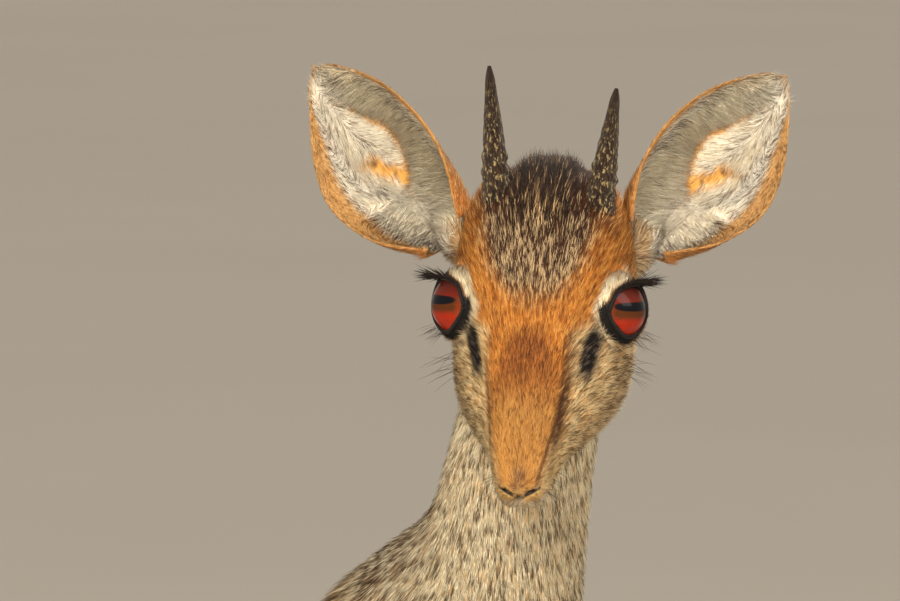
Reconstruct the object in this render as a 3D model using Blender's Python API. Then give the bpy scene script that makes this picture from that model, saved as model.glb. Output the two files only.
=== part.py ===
"""A life-size male dik-dik, standing, its head turned to its right side and its ears spread.

Metres, +Z up. The body faces +X and its left side is +Y. The origin is on the floor, under the
middle of the object's box. Each part that has a name is one closed solid, and solids that touch
keep a gap of 0.3 mm. The outline is that of the coat, out to the tips of its hair.
"""

import math

import bmesh
import bpy
import numpy as np
from mathutils import Matrix, Vector

MM = 0.001
GAP = 0.3 * MM
# How far a neighbour's cutter is swollen, so that the faceted gap is at least GAP.
SWELL = 0.42 * MM
WIDE_SWELL = 0.7 * MM

# Driving dimensions of the head, in its own frame: X to the nose, Y to its left, Z to the crown,
# with the origin midway between the eyes' centres.
HEAD_AT = (215 * MM, -35 * MM, 497 * MM)
HEAD_YAW = math.radians(-59.5)
HEAD_PITCH = math.radians(46)
HEAD_ROLL = math.radians(-2)
EYE_RADIUS = 12 * MM
EYE_SIDE = 22 * MM
LID = 1.7 * MM
LID_OPEN_LONG = math.radians(50)
LID_OPEN_TALL = math.radians(40)
# Each horn and each ear has its own set: side to side a live animal isn't the same.
HORN_ROOT = {"left": (-30 * MM, 19 * MM, 23 * MM), "right": (-30 * MM, -15.5 * MM, 23 * MM)}
HORN_LENGTH = {"left": 35 * MM, "right": 41 * MM}
# Radius in millimetres along the horn, from its sunk root to its tip.
HORN_RADII = ((-0.18, 5.4), (0, 5.1), (0.25, 4.3), (0.5, 3.3), (0.75, 2.2), (0.93, 1.35), (1, 0.6))
HORN_RISE = math.radians(36)
HORN_SPLAY = math.radians(6)
EAR_ROOT = {"left": (-36 * MM, 29.5 * MM, -8 * MM), "right": (-36 * MM, -33.5 * MM, -8 * MM)}
# From root to tip, in the head's level frame: forward, out and up.
EAR_TIP = {"left": (-0.34, 0.57, 0.69), "right": (-0.20, 0.72, 0.70)}
EAR_LENGTH = 76 * MM

# The height of the soles, which are flat and level.
FLOOR = 0.0

COAT = {
    "grizzled": (0.42, 0.36, 0.29),
    "rufous": (0.72, 0.42, 0.18),
    "tawny": (0.66, 0.50, 0.32),
    "horn": (0.10, 0.08, 0.07),
    "hoof": (0.06, 0.05, 0.05),
    "iris": (0.20, 0.05, 0.02),
}

# Rings of the trunk from rump to nape, in millimetres and degrees: centre x, y, z, the way the
# body's line points (rise, turn), then half width, reach up and reach down.
TRUNK_RINGS = (
    (-190, 0, 329, 0, 0, 7, 8, 9),
    (-185, 0, 327, 0, 0, 26, 28, 33),
    (-172, 0, 320, 0, 0, 41, 51, 53),
    (-140, 0, 313, 0, 0, 51, 70, 66),
    (-95, 0, 306, 0, 0, 54, 74, 67),
    (-45, 0, 302, 0, 0, 57, 71, 69),
    (5, 0, 300, 0, 0, 60, 75, 76),
    (55, 0, 299, 0, 0, 58, 81, 82),
    (95, 0, 303, 5, 0, 52, 83, 82),
    (128, 0, 318, 24, 0, 46, 80, 79),
    (150, 0, 348, 38, 0, 38, 69, 69),
    (168, -2, 382, 52, -4, 32, 53, 38),
    (178, -5, 412, 62, -12, 28.5, 35.5, 28),
    (184, -7, 440, 70, -25, 26.5, 28, 27),
    (192, -8, 470, 70, -42, 25.5, 26, 26),
    (199, -6, 500, 66, -55, 24, 23, 24),
    (205, -7, 517, 60, -55, 18, 17, 18),
)
# The trunk is parted here, counted in rings: in front of the shoulders.
NECK_START = 10.3
TRUNK_SQUARENESS = 2.25

# Level rings down the left legs, in millimetres: centre x, y, height, reach forward, reach back
# and half thickness.
FORE_RINGS = (
    (119, 27, 362, 5, 5, 4),
    (121, 30, 350, 17, 17, 10),
    (128, 35, 320, 27, 27, 15),
    (136, 39, 288, 31, 32, 19),
    (138, 41, 262, 27, 34, 20),
    (131, 42, 238, 20, 31, 18),
    (123, 42, 218, 15, 19, 14.5),
    (120, 41, 195, 12.5, 13, 11.5),
    (121, 41, 165, 9.8, 9.8, 9.2),
    (122, 40, 137, 8.2, 8.2, 7.8),
    (123, 40, 122, 9.6, 8.6, 9),
    (122, 40, 108, 7.6, 7.6, 7.2),
    (121, 40, 85, 6.1, 6.5, 6),
    (121, 40, 55, 6.1, 6.6, 6),
    (122, 40, 41, 7.8, 8.4, 7.6),
    (127, 40, 27, 6.8, 7, 7),
    (131, 40, 14.5, 9.2, 8.2, 9.4),
)
HIND_RINGS = (
    (-128, 26, 371, 6, 6, 4),
    (-126, 30, 360, 22, 24, 10),
    (-127, 36, 335, 39, 42, 16),
    (-127, 40, 305, 45, 47, 19),
    (-121, 42, 275, 42, 47, 21),
    (-113, 44, 250, 36, 40, 20),
    (-115, 44, 228, 29, 28, 17.5),
    (-127, 44, 205, 22, 19, 14),
    (-145, 43, 180, 15.5, 13, 11),
    (-163, 42, 158, 11.5, 12, 9),
    (-173, 42, 144, 11, 15.5, 9.5),
    (-176, 42, 130, 10.5, 12, 9.5),
    (-174, 42, 115, 8.6, 9, 8.2),
    (-170, 41, 90, 6.8, 6.8, 6.4),
    (-166, 41, 60, 6.6, 6.6, 6.2),
    (-163, 41, 43, 8.2, 8.6, 7.8),
    (-158, 41, 29, 7, 7, 7.2),
    (-153, 41, 14.5, 9.2, 8.2, 9.4),
)
# Name, heights where the leg is parted, and how far each foot stands ahead of the square stance.
LEGS = (
    ("fore", "left", FORE_RINGS, (214 * MM, 111 * MM), 9 * MM),
    ("fore", "right", FORE_RINGS, (214 * MM, 111 * MM), -8 * MM),
    ("hind", "left", HIND_RINGS, (224 * MM, 152 * MM), -9 * MM),
    ("hind", "right", HIND_RINGS, (224 * MM, 152 * MM), 13 * MM),
)
LEG_PIECES = {"fore": ("shoulder", "forearm", "cannon"), "hind": ("thigh", "shank", "cannon")}

# Half of a foot's print seen from above, heel to toe and out from the cleft, in millimetres.
HOOF_OUTLINE = ((-7, 0.6), (-7.6, 4), (-4.6, 7.6), (1, 8.6), (6.5, 7), (10.6, 3.8), (12, 1.4), (11, 0.6))
# Its heights, each with the print's swell and how far forward it slides.
HOOF_LEVELS = ((0, 1.0, 2.6), (1.2, 1.05, 2.5), (7, 0.98, 0.9), (14.2, 0.92, -1.2))
# Level rings down the tail, laid out like the legs'.
TAIL_RINGS = (
    (-180, 0, 356, 5, 5, 6),
    (-188, 0, 350, 6, 7, 9),
    (-196, 0, 340, 6.5, 7.5, 11),
    (-202, 0, 326, 6, 7, 10.5),
    (-206, 0, 314, 4, 4.5, 7),
    (-208, 0, 306, 1.2, 1.2, 2),
)

# Half sections of the head from nose to nape, in millimetres in its own frame: station x, the
# crest line's z, then the edge of the nose's bridge, the flank, the cheek and the jowl, each as
# its distance from the middle and its z, and the z of the under line.
HEAD_RINGS = (
    (69.2, -12.5, 2.0, -12.6, 2.6, -14, 2.6, -15, 2.0, -16.4, -16.5),
    (68.2, -9.5, 4.2, -10.2, 5.6, -13, 5.4, -16, 4.0, -19.0, -19.8),
    (65.5, -6.0, 6.2, -7.4, 7.7, -12.3, 7.7, -16.3, 5.8, -21.0, -22.2),
    (60, -2.2, 8.0, -4.0, 9.4, -10.4, 9.5, -16.2, 7.2, -22.4, -24),
    (50, 2.8, 9.8, 0.8, 11.4, -7, 12.8, -14.5, 10, -23.4, -25.6),
    (38, 7.8, 11.4, 5.4, 13.6, -3.5, 18.4, -16, 15.4, -26.5, -29.5),
    (25, 12.8, 12.8, 10.2, 17.0, -0.5, 24.6, -18, 21, -32, -35.5),
    (12, 18, 15, 15, 21, 2, 28.6, -21, 24.4, -36.5, -40),
    (-2, 23.6, 18, 20, 24.6, 4, 30, -21, 24.4, -39, -42.5),
    (-16, 27, 20, 23, 27.4, 6, 29.4, -18, 21.5, -37, -41),
    (-30, 26.6, 20, 22.4, 27.8, 6, 27.4, -13, 18, -30, -35),
    (-43, 21, 16.8, 17.4, 23.4, 4, 23, -10, 15, -23, -27.5),
    (-52, 11.6, 11, 9.6, 15.4, 2, 15.4, -6.5, 9.6, -14.5, -17),
    (-56.5, 3, 4, 2.5, 5.4, 0.5, 5.4, -2, 3.6, -5, -5.6),
)
MOUTH_CORNER = 35 * MM
MOUTH_FRONT = 62.5 * MM
MOUTH_LEVEL = -20 * MM
# The left nostril's slit, in millimetres in the head's frame.
NOSTRIL_PATH = ((64.6, 7.6, -10.4), (67.4, 6, -11.6), (69.2, 3.6, -13.4), (70.2, 1.4, -15.4))
# The rim of the orbit stands out from the flank of the head round each eye.
ORBIT_BULGE = 4.5 * MM


def smooth(rows, at):
    """Cubic through rows of (place, values): each knot's slope is the mean of its two sides'."""
    rows = np.asarray(rows, float)
    place, value = rows[:, 0], rows[:, 1:]
    step = np.diff(place)[:, None]
    side = np.diff(value, axis=0) / step
    inner = (step[1:] * side[:-1] + step[:-1] * side[1:]) / (step[1:] + step[:-1])
    slope = np.vstack([side[:1], inner, side[-1:]])
    at = np.asarray(at, float)
    span = np.clip(np.searchsorted(place, at, "right") - 1, 0, len(place) - 2)
    width = step[span]
    t = ((at - place[span])[:, None]) / width
    return (
        (1 + 2 * t) * (1 - t) ** 2 * value[span]
        + t * (1 - t) ** 2 * width * slope[span]
        + t * t * (3 - 2 * t) * value[span + 1]
        + t * t * (t - 1) * width * slope[span + 1]
    )


def by_index(rows):
    """Rows with their number put in front, to be read by ring number."""
    rows = np.asarray(rows, float)
    return np.column_stack([np.arange(len(rows)), rows])


def rounded(cosine, squareness):
    """A cosine or sine bent so that the ring it draws is a superellipse."""
    return np.sign(cosine) * np.abs(cosine) ** (2 / squareness)


def trunk_surface(first, last, along, around):
    """Rings of the trunk between two ring numbers: upright superellipses that follow its line."""
    row = smooth(by_index(TRUNK_RINGS), np.linspace(first, last, along))
    centre = row[:, :3] * MM
    rise, turn = np.radians(row[:, 3]), np.radians(row[:, 4])
    flat = np.zeros(along)
    side = np.stack([-np.sin(turn), np.cos(turn), flat], 1)
    up = np.stack([-np.sin(rise) * np.cos(turn), -np.sin(rise) * np.sin(turn), np.cos(rise)], 1)
    angle = np.linspace(0, 2 * np.pi, around, endpoint=False)
    across = rounded(np.sin(angle), TRUNK_SQUARENESS)
    height = rounded(np.cos(angle), TRUNK_SQUARENESS)
    # The chest narrows towards the breastbone and the back towards the spine.
    across = across * (1 - 0.10 * np.clip(-height, 0, 1) ** 2 - 0.06 * np.clip(height, 0, 1) ** 2)
    reach = np.where(height > 0, row[:, 6:7], row[:, 7:8]) * height * MM
    wide = row[:, 5:6] * across * MM
    return centre[:, None] + wide[..., None] * side[:, None] + reach[..., None] * up[:, None]


def level_surface(rows, heights, around, side=1, lead=0.0):
    """Level rings of a leg or the tail at given heights, on the side asked for; lead sets the foot ahead."""
    rows = np.asarray(rows, float)[::-1]
    row = smooth(np.column_stack([rows[:, 2], rows]), np.asarray(heights) / MM)
    angle = np.linspace(0, 2 * np.pi, around, endpoint=False)
    ahead, out = rounded(np.cos(angle), 2.1), rounded(np.sin(angle), 2.1)
    top = rows[-1, 2]
    x = row[:, 0:1] + np.where(ahead > 0, row[:, 3:4], row[:, 4:5]) * ahead
    x = x + lead / MM * (1 - row[:, 2:3] / top)
    y = (row[:, 1:2] + row[:, 5:6] * out) * side
    z = np.repeat(row[:, 2:3], around, 1)
    return np.stack([x, y, z], -1) * MM


def head_surface(stations, around):
    """Sections of the head at given x: each half is a cubic through its named points, mirrored."""
    rows = np.asarray(HEAD_RINGS, float)[::-1]
    row = smooth(rows, np.asarray(stations) / MM)
    nil = np.zeros(len(row))
    top, bottom = row[:, 0], row[:, 9]
    half = [(nil, top), *((row[:, k], row[:, k + 1]) for k in (1, 3, 5, 7)), (nil, bottom)]
    half = np.array([np.stack(p, 1) for p in half])
    flip = np.array([-1, 1])
    knots = np.concatenate([half[1:2] * flip, half, half[-2:-1] * flip])
    place = np.arange(-1.0, len(half) + 1)
    count = around // 2 + 1
    knots = np.column_stack([place, knots.reshape(len(knots), -1)])
    curve = smooth(knots, np.linspace(0, len(half) - 1, count))
    curve = curve.reshape(count, len(row), 2).transpose(1, 0, 2)
    ring = np.concatenate([curve, (curve * flip)[:, -2:0:-1]], 1) * MM
    x = np.repeat(np.asarray(stations, float)[:, None], ring.shape[1], 1)
    return brow(lower_lip(np.dstack([x, ring])))


def lower_lip(points):
    """The lower jaw set back and in under the upper lip, fading out at the corner of the mouth."""
    x, y, z = points[..., 0], points[..., 1], points[..., 2]
    below = np.clip((MOUTH_LEVEL - z) / (1.5 * MM), 0, 1)
    ahead = np.clip((x - MOUTH_CORNER) / (12 * MM), 0, 1) ** 2
    amount = below * ahead
    moved = points.copy()
    moved[..., 0] = x - amount * np.clip(x - 50 * MM, 0, 1) * 0.55
    moved[..., 1] = y * (1 - 0.16 * amount)
    return moved


def brow(points):
    """The orbits' rims: a soft mound on each flank, widest at the eye."""
    x, y, z = (points[..., axis] / MM for axis in range(3))
    mound = np.exp(-(((x - 1) / 17) ** 2) - ((z - 2) / 13) ** 2) * np.clip((np.abs(y) - 9) / 12, 0, 1)
    moved = points.copy()
    moved[..., 1] += np.sign(y) * mound * ORBIT_BULGE
    return moved


def material(name, colour, roughness=0.85):
    """One plain finish."""
    made = bpy.data.materials.new(name)
    made.use_nodes = True
    shader = made.node_tree.nodes["Principled BSDF"]
    shader.inputs["Base Color"].default_value = (*colour, 1)
    shader.inputs["Roughness"].default_value = roughness
    shader.inputs["Metallic"].default_value = 0.0
    return made


def add_object(name, points, faces, parent, finish=None):
    """A mesh object whose faces point out."""
    mesh = bpy.data.meshes.new(name)
    mesh.from_pydata([tuple(p) for p in points], [], faces)
    shape = bmesh.new()
    shape.from_mesh(mesh)
    bmesh.ops.recalc_face_normals(shape, faces=shape.faces)
    if shape.calc_volume(signed=True) < 0:
        bmesh.ops.reverse_faces(shape, faces=shape.faces)
    shape.to_mesh(mesh)
    shape.free()
    made = bpy.data.objects.new(name, mesh)
    bpy.context.scene.collection.objects.link(made)
    made.parent = parent
    if finish:
        mesh.materials.append(finish)
        mesh.shade_smooth()
    return made


def grid_faces(along, around, offset=0):
    """Four-sided faces between closed rings, and one face over each end."""
    first = np.arange(along - 1)[:, None] * around
    here = np.arange(around)[None]
    after = (here + 1) % around
    quads = np.stack([first + here, first + after, first + around + after, first + around + here], -1)
    ends = [list(range(around))[::-1], list(range((along - 1) * around, along * around))]
    return [[offset + i for i in face] for face in [*quads.reshape(-1, 4).tolist(), *ends]]


def loft(name, rings, parent, finish=None):
    """A closed solid through rings of points."""
    along, around = rings.shape[:2]
    return add_object(name, rings.reshape(-1, 3), grid_faces(along, around), parent, finish)


def swollen(piece, amount=SWELL):
    """A cutter: a copy of a piece, with every point moved out along its normal."""
    mesh = piece.data.copy()
    points = np.empty(len(mesh.vertices) * 3, np.float32)
    normals = np.empty_like(points)
    mesh.vertices.foreach_get("co", points)
    mesh.vertex_normals.foreach_get("vector", normals)
    mesh.vertices.foreach_set("co", points + amount * normals)
    mesh.update()
    cutter = bpy.data.objects.new(piece.name + "_cutter", mesh)
    bpy.context.scene.collection.objects.link(cutter)
    cutter.parent = piece.parent
    hide(cutter)
    return cutter


def hide(cutter):
    """Marks a helper, which is no part of the object."""
    cutter.hide_render = True
    cutter.display_type = "WIRE"


def settle(piece):
    """Applies a piece's modifiers, and keeps only the largest closed surface of the result."""
    bpy.context.view_layer.update()
    graph = bpy.context.evaluated_depsgraph_get()
    mesh = bpy.data.meshes.new_from_object(piece.evaluated_get(graph))
    piece.modifiers.clear()
    piece.data = mesh
    shape = bmesh.new()
    shape.from_mesh(mesh)
    bmesh.ops.triangulate(shape, faces=shape.faces)
    left, shells = set(shape.faces), []
    while left:
        shell, edge = set(), [left.pop()]
        while edge:
            face = edge.pop()
            shell.add(face)
            joined = [side for side in face.edges if len(side.link_faces) == 2]
            near = {other for side in joined for other in side.link_faces} & left
            left -= near
            edge.extend(near)
        shells.append(shell)
    largest = max(shells, key=lambda shell: box_size([v.co for face in shell for v in face.verts]))
    bmesh.ops.delete(shape, geom=[face for face in shape.faces if face not in largest], context="FACES")
    shape.to_mesh(mesh)
    shape.free()


def box_size(points):
    """The diagonal of the box round some points."""
    points = np.array(points)
    return float(np.linalg.norm(points.max(0) - points.min(0)))


def combine(piece, others, operation, solver="EXACT"):
    """Joins others to a piece, or cuts them from it, all at once, and removes them."""
    group = bpy.data.collections.new("tools")
    bpy.context.scene.collection.children.link(group)
    for other in others:
        group.objects.link(other)
    change = piece.modifiers.new(operation.lower(), "BOOLEAN")
    change.operation = operation
    change.operand_type = "COLLECTION"
    change.collection = group
    change.solver = solver
    settle(piece)
    for other in list(group.objects):
        bpy.data.objects.remove(other)
    bpy.data.collections.remove(group)


def head_matrix():
    """The head's place and pose: turned about +Z, pitched nose down and rolled about its own length."""
    turn = Matrix.Rotation(HEAD_YAW, 4, "Z") @ Matrix.Rotation(HEAD_PITCH, 4, "Y")
    return Matrix.Translation(HEAD_AT) @ turn @ Matrix.Rotation(HEAD_ROLL, 4, "X")


def eye_frame(side):
    """The eye's centre, and the unit vectors out of it, along its opening and across it."""
    centre = np.array([0, side * EYE_SIDE, 0])
    out = np.array([0.40, side * 0.85, 0.34])
    out = out / np.linalg.norm(out)
    along = np.array([1.0, 0, -0.10])
    along = along - out * (along @ out)
    along = along / np.linalg.norm(along)
    return centre, out, along, np.cross(out, along) * side


def ball(centre, radius, out, along, across, rows=9, around=16, bulge=0.0):
    """Rings of a ball about its out axis, with the cornea raised by bulge where it faces out."""
    angle = np.linspace(0.12, math.pi - 0.12, rows)[:, None]
    turn = np.linspace(0, 2 * np.pi, around, endpoint=False)[None]
    reach = radius + bulge * np.clip(1 - (angle / 0.75) ** 2, 0, 1) ** 2 + 0 * turn
    ring = reach * np.sin(angle)
    return (
        centre
        + (reach * np.cos(angle))[..., None] * out
        + (ring * np.cos(turn))[..., None] * along
        + (ring * np.sin(turn))[..., None] * across
    )


def eye_opening(name, frame, parent):
    """The almond between the lids, as a cone of rays from the eye's centre."""
    centre, out, along, across = frame
    turn = np.linspace(0, 2 * np.pi, 22, endpoint=False)
    long = LID_OPEN_LONG * np.cos(turn)
    tall = LID_OPEN_TALL * np.sin(turn) * (1 - 0.22 * np.cos(turn) ** 2)
    tilt = np.hypot(long, tall)
    rim = np.cos(tilt)[:, None] * out + (np.sin(tilt) / tilt)[:, None] * (
        long[:, None] * along + tall[:, None] * across
    )
    reach = np.array([2, 16])[:, None, None] * MM
    return loft(name, centre + reach * rim[None], parent)


def groove(name, path, radius, parent):
    """A round tube along a path of points, as a mesh: the cutter of a crease."""
    path = np.asarray(path)
    heading = np.gradient(path, axis=0)
    heading = heading / np.linalg.norm(heading, axis=1)[:, None]
    first = np.cross(heading, [0, 0, 1.0])
    first = first / np.linalg.norm(first, axis=1)[:, None]
    second = np.cross(heading, first)
    turn = np.linspace(0, 2 * np.pi, 6, endpoint=False)[None, :, None]
    ring = np.cos(turn) * first[:, None] + np.sin(turn) * second[:, None]
    return loft(name, path[:, None] + radius * ring, parent)


def mouth_path():
    """The line of the mouth: from one corner, round under the nose, to the other."""
    turn = np.linspace(-math.pi / 2, math.pi / 2, 17)
    back = np.clip(1 - np.cos(turn), 0, 1)
    x = MOUTH_FRONT - (MOUTH_FRONT - MOUTH_CORNER) * back**1.2
    wide = smooth([(35, 16.6), (43, 13), (52, 10.8), (59, 9.2), (62.5, 8.6)], x / MM)[:, 0] * MM
    z = MOUTH_LEVEL - 0.6 * MM + 2.4 * MM * back
    return np.stack([x, np.sign(turn) * np.abs(np.sin(turn)) ** 0.8 * wide, z], 1)


def lock(name, root, lie, out, length, width, thick, bend, parent):
    """One flat tapered lock: a four-sided blade that lies along lie, lifts by bend and ends in a point."""
    side = np.cross(lie, out)
    side = side / np.linalg.norm(side)
    place = np.array([0, 0.35, 0.7, 0.97])
    half = width / 2 * np.array([0.8, 1, 0.72, 0.12])
    deep = thick / 2 * np.array([1, 1, 0.7, 0.25])
    middle = root + place[:, None] * length * lie + (place[:, None] ** 2) * length * bend * out
    rings = np.stack(
        [
            middle + half[:, None] * side,
            middle + deep[:, None] * out,
            middle - half[:, None] * side,
            middle - deep[:, None] * out,
        ],
        1,
    )
    return loft(name, rings, parent)


def crest_locks(parent):
    """The crown's dark tuft: locks in staggered rows between the horns, lying back and lifting."""
    draw = np.random.default_rng(7)
    locks = []
    for row, x in enumerate((-10, -17, -24, -31, -38)):
        half = 12 if row < 2 else 8
        for y in np.arange(-half + 2.6 * (row % 2), half + 0.1, 5.2):
            top = head_surface([x * MM], 36)[0]
            z = np.interp(abs(y) * MM, top[:9, 1], top[:9, 2])
            rise = (-0.04 if row > 3 else 0.26) + draw.uniform(-0.05, 0.07)
            lie = np.array([-1, y * 0.014 + draw.uniform(-0.08, 0.08), rise])
            lie = lie / np.linalg.norm(lie)
            out = np.array([0.2, 0, 1.0])
            root = np.array([x * MM, y * MM, z - 1.5 * MM])
            length = draw.uniform(11, 14) * MM
            locks.append(lock("lock", root, lie, out, length, 5.2 * MM, 1.7 * MM, 0.03, parent))
    return locks


def make_head(pose, finish):
    """The head: skull and flesh in one, with orbits, lids, nostrils, the mouth's line and the crest."""
    nose, nape = HEAD_RINGS[0][0] * MM, HEAD_RINGS[-1][0] * MM
    turn = np.linspace(0, 1, 32)
    stations = nape + (nose - nape) * (0.5 - 0.5 * np.cos(np.pi * turn)) * 0.45 + (nose - nape) * turn * 0.55
    head = loft("head", head_surface(stations, 30), pose, finish)
    outside = swollen(head)
    orbits, cutters = [], []
    for side in (1, -1):
        frame = eye_frame(side)
        orbits.append(loft("orbit", ball(frame[0], EYE_RADIUS + LID, *frame[1:]), pose))
        cutters.append(eye_opening("opening", frame, pose))
        cutters.append(loft("socket", ball(frame[0], EYE_RADIUS + GAP, *frame[1:], bulge=0.6 * MM), pose))
        nostril = np.array(NOSTRIL_PATH) * [1, side, 1] * MM
        cutters.append(groove("nostril", nostril, 0.95 * MM, pose))
    combine(head, [*orbits, *crest_locks(pose)], "UNION")
    cutters.append(groove("mouth", mouth_path(), 0.8 * MM, pose))
    for cutter in cutters:
        combine(head, [cutter], "DIFFERENCE")
    return head, outside


def make_eyes(pose, finish):
    """Both eyeballs, each with a low cornea."""
    for side, name in ((1, "eye_left"), (-1, "eye_right")):
        frame = eye_frame(side)
        loft(name, ball(frame[0], EYE_RADIUS - 0.1 * MM, *frame[1:], bulge=0.5 * MM), pose, finish)


def make_horns(pose, finish, head):
    """Two short straight horns, ringed at the root, that taper to a worn tip and are let into the head."""
    for side, name in ((1, "left"), (-1, "right")):
        length = HORN_LENGTH[name]
        place = np.linspace(-0.18, 1, 17)
        radius = smooth(HORN_RADII, place)[:, 0]
        ringed = np.clip(1 - place / 0.6, 0, 1) * 0.3 * np.cos(np.pi * np.arange(len(place)))
        radius = (radius + ringed) * MM
        lean = np.array([-math.cos(HORN_RISE), side * math.sin(HORN_SPLAY), math.sin(HORN_RISE)])
        lean = lean / np.linalg.norm(lean)
        first = np.array([0, 1.0, 0]) - lean * lean[1]
        first = first / np.linalg.norm(first)
        second = np.cross(lean, first)
        turn = np.linspace(0, 2 * np.pi, 10, endpoint=False)[None, :, None]
        middle = np.array(HORN_ROOT[name]) + place[:, None] * length * lean
        rings = middle[:, None] + radius[:, None, None] * (np.cos(turn) * first + np.sin(turn) * second)
        horn = loft("horn_" + name, rings, pose, finish)
        combine(head, [swollen(horn, 0.6 * MM)], "DIFFERENCE")


def copy_of(piece):
    """A second object on the same mesh, for a cut that uses its tool up."""
    twin = piece.copy()
    bpy.context.scene.collection.objects.link(twin)
    return twin


def ear_frame(name):
    """The ear's root and its unit vectors: root to tip, towards the head's top, and the way it faces."""
    side = 1 if name == "left" else -1
    level = np.array([math.cos(HEAD_PITCH), 0, math.sin(HEAD_PITCH)])
    up = np.array([-math.sin(HEAD_PITCH), 0, math.cos(HEAD_PITCH)])
    out = np.array([0, side, 0.0])
    tip = np.array(EAR_TIP[name]) @ np.array([level, out, up])
    tip = tip / np.linalg.norm(tip)
    face = level + 0.16 * out
    face = face - tip * (face @ tip)
    face = face / np.linalg.norm(face)
    return np.array(EAR_ROOT[name]), tip, np.cross(face, tip) * side, face


def ear_leaf(name, t, s, depth):
    """The ear's shell: a leaf rolled about its length into a cup, t from root to tip, s across it.

    At each t the leaf is an arc of half angle bend, whose half widths above and below the middle
    come from the outline; depth is how far behind the inner face the point lies.
    """
    root, tip, upper, face = ear_frame(name)
    above = smooth([(0, 9), (0.2, 15.4), (0.5, 19), (0.72, 16), (0.9, 8.8), (0.96, 5.4), (1, 1)], t)[:, 0]
    below = smooth([(0, 9), (0.18, 18.6), (0.44, 24), (0.64, 19.8), (0.9, 8.2), (0.96, 4.8), (1, 1)], t)[:, 0]
    bend = np.radians(smooth([(0, 128), (0.12, 104), (0.3, 74), (0.6, 56), (1, 24)], t)[:, 0])
    radius = (above + below) / 2 / np.sin(np.minimum(bend, np.pi / 2)) * MM
    angle = s * bend[:, None]
    shift = (above - below)[:, None] / 2 * MM * (0.3 + 0.7 * np.clip(1.2 * t, 0, 1)[:, None])
    reach = radius[:, None] + depth
    across = reach * np.sin(angle) + shift
    out = radius[:, None] - reach * np.cos(angle)
    sweep = smooth([(0, 0), (0.5, -1), (1, -4)], t)[:, 0][:, None] * MM
    return (
        root
        + (t[:, None] * EAR_LENGTH)[..., None] * tip
        + across[..., None] * upper
        + (out + sweep - 6 * MM)[..., None] * face
    )


def make_ears(pose, finish, cutters):
    """Two big cupped ears: an inner and an outer leaf closed along the rim, on a short root."""
    for name in ("left", "right"):
        t = np.array([0, 0.07, 0.15, 0.26, 0.39, 0.53, 0.67, 0.8, 0.9, 0.96, 1])
        s = np.linspace(-1, 1, 11)[None]
        thick = (0.9 + 1.1 * (1 - s**2)) * MM * smooth([(0, 1.3), (0.5, 1), (1, 0.6)], t)
        inner = ear_leaf(name, t, s, 0 * thick)
        outer = ear_leaf(name, t, s[:, ::-1], thick[:, ::-1])
        leaf = loft("ear_" + name, np.concatenate([inner, outer], 1), pose, finish)
        root, tip, upper, face = ear_frame(name)
        place = np.linspace(-13, 15, 7)
        size = smooth([(-13, 8), (-4, 9.6), (5, 9.2), (12, 6), (15, 2)], place)[:, 0] * MM
        turn = np.linspace(0, 2 * np.pi, 12, endpoint=False)[None, :, None]
        middle = root + (place[:, None] * tip - 4.5 * face) * MM
        stalk = middle[:, None] + size[:, None, None] * (np.cos(turn) * upper + np.sin(turn) * face)
        combine(leaf, [loft("stalk", stalk, pose)], "UNION")
        for cutter in cutters:
            # The exact solver loses the left ear in these cuts.
            combine(leaf, [copy_of(cutter)], "DIFFERENCE", "MANIFOLD")


def make_trunk(root, finish, head_cutter):
    """Torso and neck, one form parted by a thin cut in front of the shoulders."""
    part = GAP / (20 * MM)
    torso = loft("torso", trunk_surface(0, NECK_START - part, 23, 24), root, finish)
    neck = loft("neck", trunk_surface(NECK_START, len(TRUNK_RINGS) - 1, 13, 24), root, finish)
    combine(neck, [head_cutter], "DIFFERENCE")
    return torso, neck


def make_legs(root, torso, finish):
    """Each leg in three lengths, parted by level cuts, the upper one let into the torso."""
    for pair, side, rows, cuts, lead in LEGS:
        out = 1 if side == "left" else -1
        top, sole = rows[0][2] * MM, rows[-1][2] * MM
        spans = ((top, cuts[0]), (cuts[0] - GAP, cuts[1]), (cuts[1] - GAP, sole))
        for piece, (high, low), count in zip(LEG_PIECES[pair], spans, (11, 8, 13)):
            heights = np.linspace(high, low, count)
            rings = level_surface(rows, heights, 14, out, lead)
            made = loft(f"{pair}_{side}_{piece}", rings, root, finish)
            if high == top:
                combine(torso, [swollen(made, WIDE_SWELL)], "DIFFERENCE")
        make_foot(pair, side, rows, out, lead, root)


def make_foot(pair, side, rows, out, lead, root):
    """Two pointed hooves under the coronet, with a cleft between them."""
    horn = bpy.data.materials["hoof"]
    x, y, low = np.array(rows[-1][:3]) * [1, out, 1] * MM
    x = x + lead * (1 - rows[-1][2] / rows[0][2])
    outline = np.array(HOOF_OUTLINE)
    for toe, name in ((1, "outer"), (-1, "inner")):
        rings = []
        for height, swell, slide in HOOF_LEVELS:
            ring = np.maximum(outline * swell, [-99, 0.6])
            flat = np.full(len(ring), height)
            rings.append(np.stack([ring[:, 0] + slide, ring[:, 1] * toe * out, flat], 1) * MM)
        rings = np.array(rings) + [x, y, FLOOR]
        loft(f"{pair}_{side}_hoof_{name}", rings, root, horn)


def centre_on_floor(root):
    """Moves the whole so that the origin is under the middle of its box."""
    bpy.context.view_layer.update()
    corners = []
    for piece in bpy.data.objects:
        if piece.type == "MESH" and not piece.hide_render:
            corners.extend(piece.matrix_world @ vertex.co for vertex in piece.data.vertices)
    corners = np.array(corners)
    middle = (corners.min(0) + corners.max(0)) / 2
    root.location = Vector((-middle[0], -middle[1], -corners[:, 2].min()))


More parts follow.
